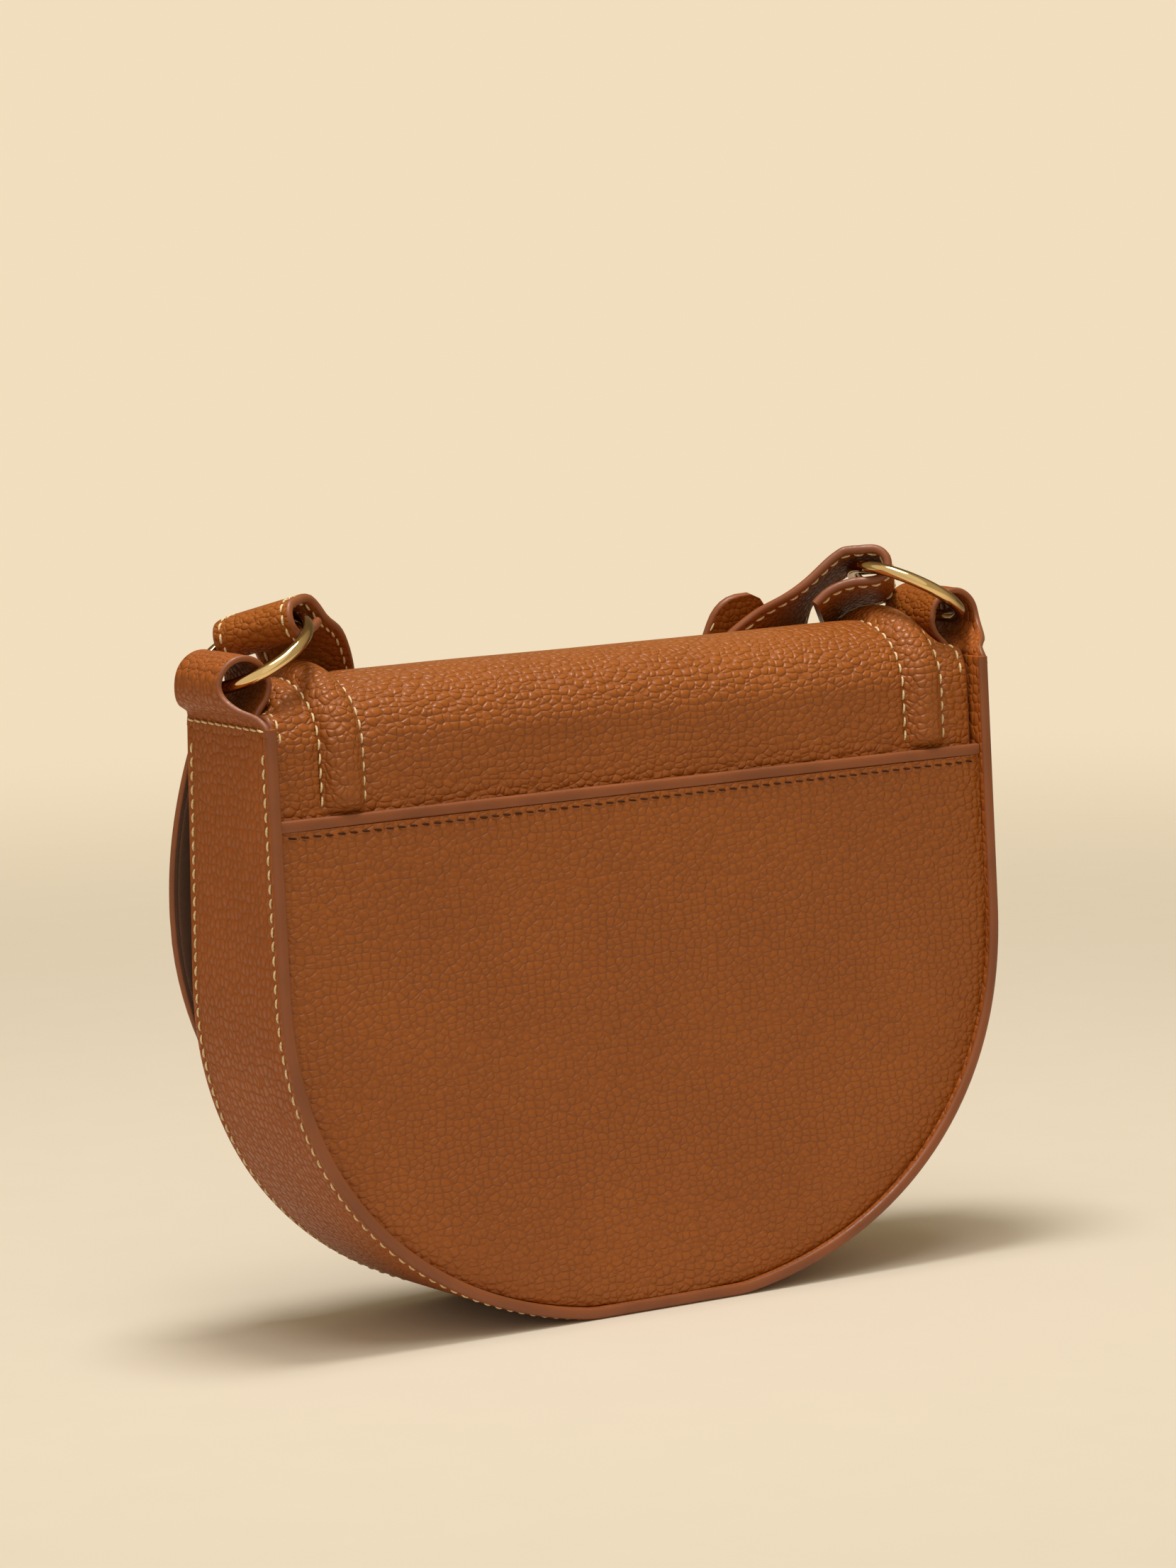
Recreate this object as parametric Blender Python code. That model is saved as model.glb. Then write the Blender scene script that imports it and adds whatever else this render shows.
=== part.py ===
"""Half moon crossbody bag in pebbled leather.

A D-shaped body with a leather gusset, a back slip pocket, a flap that wraps over the top to the
front, two round rings in gusset loops, and an adjustable shoulder strap with a pin buckle.

Frame: origin in the middle of the flat base, +Z up, +X along the width, the flap's front at -Y.
"""
import math

import bmesh
import bpy
from mathutils import Matrix, Vector

MM = 0.001

# Clearances
SEAT = 0.3 * MM                 # between pieces that touch

# Body outline
HALF_WIDTH = 115 * MM
BASE_CENTRE_HEIGHT = 98 * MM    # where the round base turns into the straight sides
FOOT_CUT = 1.5 * MM             # how much of the round base the flat foot cuts off
BASE_DROP = BASE_CENTRE_HEIGHT + FOOT_CUT
BASE_ROUNDNESS = 2.2            # superellipse exponent
RIM_HEIGHT = 165.5 * MM
HALF_DEPTH_BASE = 27.25 * MM
HALF_DEPTH_TOP = 21.15 * MM

# Gusset
GUSSET_WALL = 2.2 * MM
RIM_LIP = 4.0 * MM
LINING_THICKNESS = 0.8 * MM
GUSSET_LINING_TOP = RIM_HEIGHT - 14.5 * MM

# Panels, each set in from the rim and ending below it
POCKET_SET_IN = 2.3 * MM
POCKET_THICKNESS = 1.8 * MM
POCKET_TOP = RIM_HEIGHT - 24 * MM
BINDING_HEIGHT = 3.0 * MM
BINDING_PROUD = 0.4 * MM
BACK_PANEL_THICKNESS = 1.8 * MM
BACK_PANEL_TOP = RIM_HEIGHT - 7.5 * MM
FRONT_SET_IN = 2.5 * MM
FRONT_PANEL_THICKNESS = 2.2 * MM
FRONT_PANEL_TOP = RIM_HEIGHT - 15.5 * MM

# Flap
FLAP_LEATHER = 2.0 * MM
FLAP_LINING = 0.9 * MM
FLAP_STAND_OFF = 0.6 * MM       # between the front rim and the flap's lining
FLAP_BULGE = 4.5 * MM           # extra stand-off at mid height
BULGE_BOTTOM = 75 * MM
ROOT_TUCK = 23.5 * MM           # how far the flap's root goes down behind the pocket
ROOT_BOTTOM = POCKET_TOP - ROOT_TUCK
DOME_CENTRE_Y = -2.6 * MM
DOME_CENTRE_Z = RIM_HEIGHT - 7.5 * MM
DOME_RISE = 18 * MM
DOME_SET_IN = 10.4 * MM         # from the body's side to the dome, so that it passes between the loops
DOME_HALF_WIDTH = HALF_WIDTH - DOME_SET_IN
ROOT_HALF_WIDTH = HALF_WIDTH - RIM_LIP - 2 * SEAT
FLAP_OVERHANG = 1.7 * MM        # past the body's side, at the flap's widest
FLAP_HALF_WIDTH = HALF_WIDTH + FLAP_OVERHANG
FLAP_WIDEST_HEIGHT = 112 * MM
FLAP_NARROW_HEIGHT = DOME_CENTRE_Z + 14 * MM
FLAP_BOTTOM = 32 * MM
FLAP_ROUNDNESS = 2.5
FLAP_SHOULDER = 3.5             # exponent of the flap's drawing in, above its widest height
HINGE_ANGLE = math.radians(18)  # where the flap bends, on the front of the dome
HINGE_OFFSET = 9.0 * MM         # the bend's axis, outside the leather and both strap layers

# Raised channels over the flap
CHANNEL_INNER = 87 * MM
CHANNEL_WIDTH = 13.5 * MM
CHANNEL_RAISE = 2.0 * MM
CHANNEL_SHOULDER = 2.0 * MM

# Snap
SNAP_HEIGHT = 60 * MM
SNAP_RADIUS = 9 * MM
SNAP_POST_RADIUS = 2.5 * MM
SNAP_POST_LENGTH = 0.8 * MM

# Ring loops at the gusset's ends
LOOP_SET_IN = 1.5 * MM
LOOP_RISE = 10 * MM
LOOP_CENTRE_X = HALF_WIDTH - LOOP_SET_IN
LOOP_CENTRE_Z = RIM_HEIGHT + LOOP_RISE
LOOP_BORE = 6.6 * MM
LOOP_LEATHER = 1.7 * MM
LOOP_FRONT = -12.0 * MM
LOOP_BACK = 8.0 * MM
LOOP_FLARE_TOP = RIM_HEIGHT + 7.5 * MM
LOOP_FLARE_BOTTOM = RIM_HEIGHT + 2 * MM
LOOP_TONGUE = 2.1 * MM
LOOP_TONGUE_BOTTOM = RIM_HEIGHT - 13.5 * MM

# Rings
RING_RADIUS = 16.0 * MM         # of the wire's middle line
WIRE_RADIUS = 1.7 * MM
RING_OUT = 4.3 * MM             # the wire's lowest point, outward of the loop's middle
RING_SAG = 0.7 * MM             # and below it

# Strap
STRAP_WIDTH = 24 * MM
STRAP_THICKNESS = 2.4 * MM
STRAP_LAYER = STRAP_THICKNESS / 2 + SEAT / 2
FOLD_FREE = 0.3 * MM           # between a ring's wire and the fold round it
FOLD_PLAY = 0.9 * MM            # how far the fold's bend stays behind the wire at the strap's edges
FOLD_STRAIGHT = 6.3 * MM        # from the bend to where the upper layer turns down
STRAP_SPLIT_HEIGHT = 42 * MM    # the front stretches end above the run on the floor

# Buckle
BAR_RADIUS = 1.6 * MM
FRAME_LENGTH = 20 * MM
FRAME_CORNER = 3.0 * MM
PRONG_RADIUS = 1.1 * MM
PRONG_SLEEVE_WIDTH = 4.0 * MM
PRONG_SLOT = 6.5 * MM
HOLE_RADIUS = 2.4 * MM
HOLE_PITCH = 20 * MM
KEEPER_UP = 13 * MM             # the keeper's middle above the run's low end
KEEPER_LENGTH = 9 * MM
KEEPER_LEATHER = 1.8 * MM
KEEPER_FREE = 0.4 * MM

LEATHER = ("leather", (0.46, 0.25, 0.11, 1), 0.55, 0.0)
GUSSET_LEATHER = ("gusset_leather", (0.43, 0.23, 0.10, 1), 0.5, 0.0)
TWILL = ("lining_twill", (0.16, 0.085, 0.045, 1), 0.8, 0.0)
EDGE = ("binding_leather", (0.50, 0.28, 0.17, 1), 0.5, 0.0)
GOLD = ("gold_metal", (0.83, 0.60, 0.28, 1), 0.18, 1.0)


def clear_scene():
    for item in list(bpy.data.objects):
        bpy.data.objects.remove(item, do_unlink=True)


def material(name, slot):
    """One Principled material for each piece, in the colour of its slot."""
    _, colour, roughness, metallic = slot
    new = bpy.data.materials.new(name + "_" + slot[0])
    new.use_nodes = True
    shader = new.node_tree.nodes["Principled BSDF"]
    shader.inputs["Base Color"].default_value = colour
    shader.inputs["Roughness"].default_value = roughness
    shader.inputs["Metallic"].default_value = metallic
    new.diffuse_color = colour
    return new


def add_object(name, mesh_data, slot, smooth=False, sharp=math.radians(35)):
    bmesh.ops.recalc_face_normals(mesh_data, faces=mesh_data.faces)
    mesh = bpy.data.meshes.new(name)
    mesh_data.to_mesh(mesh)
    mesh_data.free()
    if smooth:
        mesh.shade_smooth()
        mesh.set_sharp_from_angle(angle=sharp)
    item = bpy.data.objects.new(name, mesh)
    bpy.context.scene.collection.objects.link(item)
    if slot is not None:
        mesh.materials.append(material(name, slot))
    return item


def add_cutter(name, mesh_data):
    item = add_object(name, mesh_data, None)
    item.hide_render = True
    item.display_type = "WIRE"
    return item


def boolean(item, cutter, operation):
    change = item.modifiers.new(operation.lower() + "_" + cutter.name, "BOOLEAN")
    change.operation = operation
    change.solver = "EXACT"
    change.object = cutter


def add_pivot(name, place, children):
    """An empty on a joint's axis that carries the pieces that move with it."""
    pivot = bpy.data.objects.new(name, None)
    bpy.context.scene.collection.objects.link(pivot)
    pivot.location = place
    for child in children:
        child.parent = pivot
        child.matrix_parent_inverse = Matrix.Translation(place).inverted()
    return pivot


def half_depth(z):
    """Distance of the rim planes from the middle: the body is deepest at its base."""
    return HALF_DEPTH_BASE + (HALF_DEPTH_TOP - HALF_DEPTH_BASE) * z / RIM_HEIGHT


def lerp(a, b, share):
    return a + (b - a) * share


# Solids from outlines and sections

def loft(sections, closed=False):
    """A solid through a row of sections with the same number of corners."""
    mesh_data = bmesh.new()
    rows = [[mesh_data.verts.new(p) for p in section] for section in sections]
    count = len(rows[0])
    pairs = list(zip(rows, rows[1:]))
    if closed:
        pairs.append((rows[-1], rows[0]))
    for first, second in pairs:
        for i in range(count):
            j = (i + 1) % count
            mesh_data.faces.new((first[i], first[j], second[j], second[i]))
    if not closed:
        mesh_data.faces.new(rows[0][::-1])
        mesh_data.faces.new(rows[-1])
    return mesh_data


def prism(outline, first, second):
    """An outline carried between two placements, each a function from a corner to a point."""
    return loft([[first(c) for c in outline], [second(c) for c in outline]])


def body_curve(steps=22):
    """Points and inward directions along the body's U, from the -X top to the +X top."""
    right = []
    power = 2 / BASE_ROUNDNESS
    for i in range(steps + 1):
        turn = math.pi / 2 * i / steps
        x = HALF_WIDTH * math.sin(turn) ** power
        z = BASE_CENTRE_HEIGHT - BASE_DROP * math.cos(turn) ** power
        slope_x = (x / HALF_WIDTH) ** (BASE_ROUNDNESS - 1) / HALF_WIDTH
        slope_z = ((BASE_CENTRE_HEIGHT - z) / BASE_DROP) ** (BASE_ROUNDNESS - 1) / BASE_DROP
        size = math.hypot(slope_x, slope_z)
        right.append((x, z, -slope_x / size, slope_z / size))
    for height in (lerp(BASE_CENTRE_HEIGHT, RIM_HEIGHT, 0.5), RIM_HEIGHT):
        right.append((HALF_WIDTH, height, -1, 0))
    left = [(-x, z, -across, up) for x, z, across, up in right[:0:-1]]
    return left + right


def inset_point(station, inset):
    x, z, across, up = station
    return x + across * inset, max(z + up * inset, inset)


def leaned(side, set_in):
    """Placement of an (x, z) corner on the plane that lies set_in behind a rim plane."""
    return lambda corner: Vector((corner[0], side * (half_depth(corner[1]) - set_in), corner[1]))


def panel_outline(inset, top):
    """The body's outline drawn in by inset and closed at a straight top edge."""
    points = []
    for station in body_curve():
        x, z = inset_point(station, inset)
        if z < top:
            points.append((x, z))
    half = HALF_WIDTH - inset
    return [(-half, top)] + points + [(half, top)]


def add_panel(name, side, set_in, thickness, top, slot):
    outline = panel_outline(RIM_LIP + SEAT, top)
    return add_object(name, prism(outline, leaned(side, set_in), leaned(side, set_in + thickness)), slot)


# Gusset and body panels

BACK_STACK = POCKET_SET_IN + POCKET_THICKNESS + SEAT
ROOT_SET_IN = BACK_STACK
BACK_PANEL_SET_IN = ROOT_SET_IN + FLAP_LEATHER + SEAT
BACK_LIP_DEPTH = BACK_PANEL_SET_IN + BACK_PANEL_THICKNESS
FRONT_LIP_DEPTH = FRONT_SET_IN + FRONT_PANEL_THICKNESS


def band(section, top):
    """A section swept along the body's U. Its corners are (inset, side, depth from the rim)."""
    sections = []
    for station in body_curve():
        ring = []
        for inset, side, depth in section:
            x, z = inset_point(station, inset)
            z = min(z, top)
            ring.append(Vector((x, side * (half_depth(z) - depth), z)))
        sections.append(ring)
    return loft(sections)


def add_gusset():
    section = [(0, -1, 0), (0, 1, 0), (RIM_LIP, 1, 0), (RIM_LIP, 1, BACK_LIP_DEPTH),
               (GUSSET_WALL, 1, BACK_LIP_DEPTH), (GUSSET_WALL, -1, FRONT_LIP_DEPTH),
               (RIM_LIP, -1, FRONT_LIP_DEPTH), (RIM_LIP, -1, 0)]
    return add_object("gusset", band(section, RIM_HEIGHT), GUSSET_LEATHER, smooth=True)


def add_gusset_lining():
    outer = GUSSET_WALL + SEAT
    inner = outer + LINING_THICKNESS
    front = FRONT_LIP_DEPTH + LINING_THICKNESS + 2 * SEAT
    back = BACK_LIP_DEPTH + LINING_THICKNESS + 2 * SEAT
    section = [(outer, -1, front), (outer, 1, back), (inner, 1, back), (inner, -1, front)]
    lining = add_object("gusset_lining", band(section, GUSSET_LINING_TOP), TWILL, smooth=True)
    return lining


def add_body():
    binding_bottom = POCKET_TOP - BINDING_HEIGHT
    pieces = [add_gusset(), add_gusset_lining()]
    pieces.append(add_panel("back_pocket_panel", 1, POCKET_SET_IN, POCKET_THICKNESS,
                            binding_bottom - SEAT, LEATHER))
    pieces.append(add_panel("back_panel", 1, BACK_PANEL_SET_IN, BACK_PANEL_THICKNESS,
                            BACK_PANEL_TOP, LEATHER))
    pieces.append(add_panel("back_lining", 1, BACK_LIP_DEPTH + SEAT, LINING_THICKNESS,
                            BACK_PANEL_TOP, TWILL))
    pieces.append(add_panel("front_panel", -1, FRONT_SET_IN, FRONT_PANEL_THICKNESS,
                            FRONT_PANEL_TOP, LEATHER))
    pieces.append(add_panel("front_lining", -1, FRONT_LIP_DEPTH + SEAT, LINING_THICKNESS,
                            FRONT_PANEL_TOP, TWILL))
    half = HALF_WIDTH - RIM_LIP - SEAT
    edge = [(-half, POCKET_TOP), (-half, binding_bottom), (half, binding_bottom), (half, POCKET_TOP)]
    outer = leaned(1, POCKET_SET_IN - BINDING_PROUD)
    binding = prism(edge, outer, leaned(1, POCKET_SET_IN + POCKET_THICKNESS))
    pieces.append(add_object("pocket_edge_binding", binding, EDGE))
    return pieces


# Flap

FLAP_TOTAL = FLAP_LINING + SEAT + FLAP_LEATHER
DOME_BACK = half_depth(DOME_CENTRE_Z) - ROOT_SET_IN - DOME_CENTRE_Y
DOME_FRONT = half_depth(DOME_CENTRE_Z) + FLAP_STAND_OFF + FLAP_TOTAL + DOME_CENTRE_Y


def bulge(z):
    share = (z - BULGE_BOTTOM) / (DOME_CENTRE_Z - BULGE_BOTTOM)
    return FLAP_BULGE * math.sin(math.pi * min(max(share, 0), 1)) ** 2


def flap_point(place, layer):
    """A point of the flap's side profile, layer above the lining's inner face.

    The place is ("back", z), ("dome", angle from the back) or ("front", z).
    """
    stretch, value = place
    under = FLAP_TOTAL - layer
    if stretch == "back":
        return half_depth(value) - ROOT_SET_IN - under, value
    if stretch == "front":
        return -(half_depth(value) + FLAP_STAND_OFF + bulge(value) + layer), value
    reach = DOME_BACK if value < math.pi / 2 else DOME_FRONT
    return (DOME_CENTRE_Y + (reach - under) * math.cos(value),
            DOME_CENTRE_Z + (DOME_RISE - under) * math.sin(value))


HINGE_TURN = math.pi - HINGE_ANGLE
SPLIT_SHARE = SEAT / 2 / DOME_FRONT


def dome_places(first, last, steps):
    return [("dome", lerp(first, last, i / steps)) for i in range(steps + 1)]


def front_places():
    heights = [lerp(DOME_CENTRE_Z, BULGE_BOTTOM, i / 14) for i in range(1, 15)]
    return [("front", z) for z in heights + [FLAP_BOTTOM - 5 * MM]]


def flap_sheet(places, inner, outer, channel_from=None):
    """A sheet along the side profile, raised in two channels where the place is past channel_from."""
    shoulder = CHANNEL_SHOULDER
    outside = CHANNEL_INNER + CHANNEL_WIDTH
    right = [(CHANNEL_INNER, 0), (CHANNEL_INNER + shoulder, 1), (outside - shoulder, 1), (outside, 0),
             (FLAP_HALF_WIDTH + 5 * MM, 0)]
    across = [(-x, raised) for x, raised in right[::-1]] + right
    if channel_from is None:
        across = [across[0], across[-1]]
    mesh_data = bmesh.new()
    grids = []
    for layer, is_outer in ((inner, False), (outer, True)):
        grid = []
        for i, place in enumerate(places):
            row = []
            for x, raised in across:
                lift = CHANNEL_RAISE if is_outer and raised and i >= (channel_from or 0) else 0
                y, z = flap_point(place, layer + lift)
                row.append(mesh_data.verts.new((x, y, z)))
            grid.append(row)
        grids.append(grid)
    low, high = grids
    for i in range(len(places) - 1):
        for j in range(len(across) - 1):
            mesh_data.faces.new((low[i][j], low[i][j + 1], low[i + 1][j + 1], low[i + 1][j]))
            mesh_data.faces.new((high[i][j], high[i + 1][j], high[i + 1][j + 1], high[i][j + 1]))
        mesh_data.faces.new((low[i][0], low[i + 1][0], high[i + 1][0], high[i][0]))
        mesh_data.faces.new((low[i][-1], high[i][-1], high[i + 1][-1], low[i + 1][-1]))
    for i in (0, -1):
        mesh_data.faces.new(low[i] + high[i][::-1])
    return mesh_data


def flap_half_width(z):
    """Half-width of the flap above its widest height: it draws in to pass between the loops."""
    share = (z - FLAP_WIDEST_HEIGHT) / (FLAP_NARROW_HEIGHT - FLAP_WIDEST_HEIGHT)
    return DOME_HALF_WIDTH + (FLAP_HALF_WIDTH - DOME_HALF_WIDTH) * (1 - min(share, 1) ** FLAP_SHOULDER)


def flap_outline():
    half = []
    power = 2 / FLAP_ROUNDNESS
    drop = FLAP_WIDEST_HEIGHT - FLAP_BOTTOM
    for i in range(1, 21):
        turn = math.pi / 2 * i / 20
        half.append((FLAP_HALF_WIDTH * math.sin(turn) ** power,
                     FLAP_WIDEST_HEIGHT - drop * math.cos(turn) ** power))
    top = DOME_CENTRE_Z + DOME_RISE + 10 * MM
    for i in range(1, 7):
        z = lerp(FLAP_WIDEST_HEIGHT, FLAP_NARROW_HEIGHT, i / 6)
        half.append((flap_half_width(z), z))
    half.append((DOME_HALF_WIDTH, top))
    return [(-x, z) for x, z in half[::-1]] + [(0, FLAP_BOTTOM)] + half


def root_outline():
    top = DOME_CENTRE_Z + DOME_RISE + 10 * MM
    half = [(ROOT_HALF_WIDTH, ROOT_BOTTOM - 5 * MM)]
    for i in range(7):
        z = lerp(ROOT_BOTTOM, FLAP_NARROW_HEIGHT, lerp(0.6, 1, i / 6))
        half.append((min(ROOT_HALF_WIDTH, flap_half_width(z)), z))
    half.append((DOME_HALF_WIDTH, top))
    return [(-x, z) for x, z in half[::-1]] + half


def add_outline_cutter(name, outline):
    reach = 60 * MM
    return add_cutter(name, prism(outline, lambda c: Vector((c[0], -reach, c[1])),
                                  lambda c: Vector((c[0], reach, c[1]))))


def add_flap():
    """The flap's fixed root over the dome, and the front that opens."""
    leather_inner = FLAP_LINING + SEAT
    channel_bottom = POCKET_TOP + 1 * MM
    root_places = [("back", ROOT_BOTTOM), ("back", channel_bottom)]
    root_places.append(("back", channel_bottom + CHANNEL_SHOULDER))
    root_places += dome_places(0, HINGE_TURN - SPLIT_SHARE, 14)
    lining_places = dome_places(math.radians(6), HINGE_TURN - SPLIT_SHARE, 12)
    opening_places = dome_places(HINGE_TURN + SPLIT_SHARE, math.pi, 5) + front_places()

    front_cutter = add_outline_cutter("flap_outline", flap_outline())
    root_cutter = add_outline_cutter("root_outline", root_outline())
    root_sheet = flap_sheet(root_places, leather_inner, FLAP_TOTAL, 2)
    root = add_object("flap_root_leather", root_sheet, LEATHER, True)
    root_lining = add_object("flap_root_lining", flap_sheet(lining_places, 0, FLAP_LINING), TWILL, True)
    opening_sheet = flap_sheet(opening_places, leather_inner, FLAP_TOTAL, 0)
    leather = add_object("flap_leather", opening_sheet, LEATHER, True)
    lining = add_object("flap_lining", flap_sheet(opening_places, 0, FLAP_LINING), TWILL, True)
    for item, cutter in ((root, root_cutter), (root_lining, root_cutter),
                         (leather, front_cutter), (lining, front_cutter)):
        boolean(item, cutter, "INTERSECT")
    return leather, lining


# Snap

def turned(profile, steps=32):
    """A body of revolution about +Z through closed (radius, height) corners off the axis."""
    sections = []
    for i in range(steps):
        turn = 2 * math.pi * i / steps
        sections.append([Vector((r * math.cos(turn), r * math.sin(turn), h)) for r, h in profile])
    return loft(sections, closed=True)


def turned_solid(profile, steps=32):
    """A body of revolution about +Z whose first and last corners give flat round ends."""
    sections = []
    for r, h in profile:
        sections.append([Vector((r * math.cos(2 * math.pi * i / steps), r * math.sin(2 * math.pi * i / steps), h))
                         for i in range(steps)])
    return loft(sections)


def add_snap():
    """A magnetic snap: its socket on the front panel, its stud on the flap's lining."""
    lean = math.atan((HALF_DEPTH_BASE - HALF_DEPTH_TOP) / RIM_HEIGHT)
    space = (FRONT_SET_IN + FLAP_STAND_OFF) * math.cos(lean)
    half = (space - 3 * SEAT) / 2
    hole = SNAP_POST_RADIUS + 2 * SEAT
    edge = 0.3 * MM
    socket = turned([(hole, 0), (SNAP_RADIUS, 0), (SNAP_RADIUS, half - edge), (SNAP_RADIUS - edge, half),
                     (hole, half)])
    start = half + SEAT
    stud = turned_solid([(SNAP_POST_RADIUS, start - SNAP_POST_LENGTH), (SNAP_POST_RADIUS, start),
                         (SNAP_RADIUS - edge, start), (SNAP_RADIUS, start + edge), (SNAP_RADIUS, start + half)])
    panel_y = -(half_depth(SNAP_HEIGHT) - FRONT_SET_IN)
    outward = Vector((0, -math.cos(lean), math.sin(lean)))
    place = Vector((0, panel_y, SNAP_HEIGHT)) + outward * SEAT
    turn = outward.to_track_quat("Z", "Y").to_matrix().to_4x4()
    pieces = []
    for name, mesh_data in (("snap_socket", socket), ("snap_stud", stud)):
        bmesh.ops.transform(mesh_data, matrix=Matrix.Translation(place) @ turn, verts=mesh_data.verts)
        pieces.append(add_object(name, mesh_data, GOLD, True))
    return pieces


# Ring loops and rings

def add_loop(name, side):
    """A leather loop that grows out of the gusset's end, folds over the ring and is sewn inside."""
    outer = LOOP_BORE + LOOP_LEATHER
    seat_z = RIM_HEIGHT + SEAT
    tongue_outer = HALF_WIDTH - GUSSET_WALL - SEAT
    tongue_inner = tongue_outer - LOOP_TONGUE
    points = []
    for i in range(25):
        turn = math.radians(lerp(-48, 228, i / 24))
        points.append((LOOP_CENTRE_X + outer * math.cos(turn), LOOP_CENTRE_Z + outer * math.sin(turn)))
    points += [(tongue_inner, points[-1][1] - 1.5 * MM), (tongue_inner, LOOP_TONGUE_BOTTOM),
               (tongue_outer, LOOP_TONGUE_BOTTOM), (tongue_outer, seat_z), (HALF_WIDTH, seat_z)]
    reach = 30 * MM
    solid = prism([(side * x, z) for x, z in points], lambda c: Vector((c[0], -reach, c[1])),
                  lambda c: Vector((c[0], reach, c[1])))
    loop = add_object(name, solid, GUSSET_LEATHER, True)

    wide = half_depth(RIM_HEIGHT)
    front = [(LOOP_FRONT, LOOP_TONGUE_BOTTOM - 5 * MM), (LOOP_FRONT, seat_z), (-wide, seat_z),
             (-wide, LOOP_FLARE_BOTTOM), (LOOP_FRONT, LOOP_FLARE_TOP), (LOOP_FRONT, LOOP_CENTRE_Z + 2 * outer)]
    back = [(LOOP_BACK, LOOP_CENTRE_Z + 2 * outer), (LOOP_BACK, LOOP_FLARE_TOP), (wide, LOOP_FLARE_BOTTOM),
            (wide, seat_z), (LOOP_BACK, seat_z), (LOOP_BACK, LOOP_TONGUE_BOTTOM - 5 * MM)]
    low, high = (LOOP_CENTRE_X - 20 * MM), (LOOP_CENTRE_X + 20 * MM)
    sides = add_cutter(name + "_sides", prism(front + back, lambda c: Vector((side * low, c[0], c[1])),
                                              lambda c: Vector((side * high, c[0], c[1]))))
    boolean(loop, sides, "INTERSECT")
    bore = turned_solid([(LOOP_BORE, -reach), (LOOP_BORE, reach)])
    place = Matrix.Translation((side * LOOP_CENTRE_X, 0, LOOP_CENTRE_Z)) @ Matrix.Rotation(math.pi / 2, 4, "X")
    bmesh.ops.transform(bore, matrix=place, verts=bore.verts)
    boolean(loop, add_cutter(name + "_bore", bore), "DIFFERENCE")
    return loop


def tube_ring(points, radius, sides=10):
    """A closed wire through a loop of points that lie in one plane."""
    centre = sum(points, Vector()) / len(points)
    normal = (points[0] - centre).cross(points[len(points) // 4] - centre).normalized()
    sections = []
    for i, point in enumerate(points):
        along = (points[(i + 1) % len(points)] - points[i - 1]).normalized()
        out = along.cross(normal).normalized()
        sections.append([point + (out * math.cos(2 * math.pi * k / sides) +
                                  normal * math.sin(2 * math.pi * k / sides)) * radius for k in range(sides)])
    return loft(sections, closed=True)


class RingPlace:
    """Where a ring lies: its place along its loop, its lean, and its turn about +Z."""

    def __init__(self, side, along, lean, turn):
        lean, turn = math.radians(lean), math.radians(turn)
        self.outward = Vector((-side * math.cos(lean) * math.cos(turn), -math.cos(lean) * math.sin(turn),
                               math.sin(lean)))
        self.across = Vector((-side * math.sin(turn), math.cos(turn), 0))
        low_point = Vector((side * (LOOP_CENTRE_X + RING_OUT), along, LOOP_CENTRE_Z - RING_SAG))
        self.centre = low_point + self.outward * RING_RADIUS
        self.axis = self.outward.cross(self.across).normalized()


LEFT_RING = RingPlace(1, -3.2 * MM, 30, 4)
RIGHT_RING = RingPlace(-1, -2.8 * MM, 30, -4)


def add_ring(name, place):
    steps = 44
    points = []
    for i in range(steps):
        turn = 2 * math.pi * i / steps
        points.append((place.outward * math.cos(turn) + place.across * math.sin(turn)) * RING_RADIUS)
    mesh_data = tube_ring(points, WIRE_RADIUS)
    ring = add_object(name, mesh_data, GOLD, True)
    pivot = add_pivot(name + "_pivot", place.centre, [])
    ring.parent = pivot
    return ring


# Strap

def smooth_route(knots, spacing):
    """A smooth curve through the knots, each a point and a direction across the strap.

    Returns its stations and, for each knot, the number of its station.
    """
    points = [Vector(point) for point, _ in knots]
    across = [Vector(direction) for _, direction in knots]
    spans = [(b - a).length for a, b in zip(points, points[1:])]
    slopes = [(b - a) / span for a, b, span in zip(points, points[1:], spans)]
    turns = [(b - a) / span for a, b, span in zip(across, across[1:], spans)]
    route = []
    marks = []
    for i, span in enumerate(spans):
        steps = max(2, round(span / spacing))
        marks.append(len(route))
        for step in range(steps):
            t = step / steps
            route.append((hermite(points, slopes, spans, i, t), hermite(across, turns, spans, i, t)))
    marks.append(len(route))
    route.append((points[-1], across[-1]))
    return route, marks


def hermite(values, slopes, spans, i, t):
    """The value a share t along span i, with slopes at its ends averaged over the spans beside."""
    ends = []
    for j in (i, i + 1):
        if j == 0 or j == len(spans):
            ends.append(slopes[min(j, len(slopes) - 1)])
        else:
            before, after = spans[j - 1], spans[j]
            ends.append((slopes[j - 1] * after + slopes[j] * before) / (before + after))
    first, second = values[i], values[i + 1]
    return (first * (1 + 2 * t) * (1 - t) ** 2 + second * t * t * (3 - 2 * t)
            + (ends[0] * (t * (1 - t) ** 2) - ends[1] * (t * t * (1 - t))) * spans[i])


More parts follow.
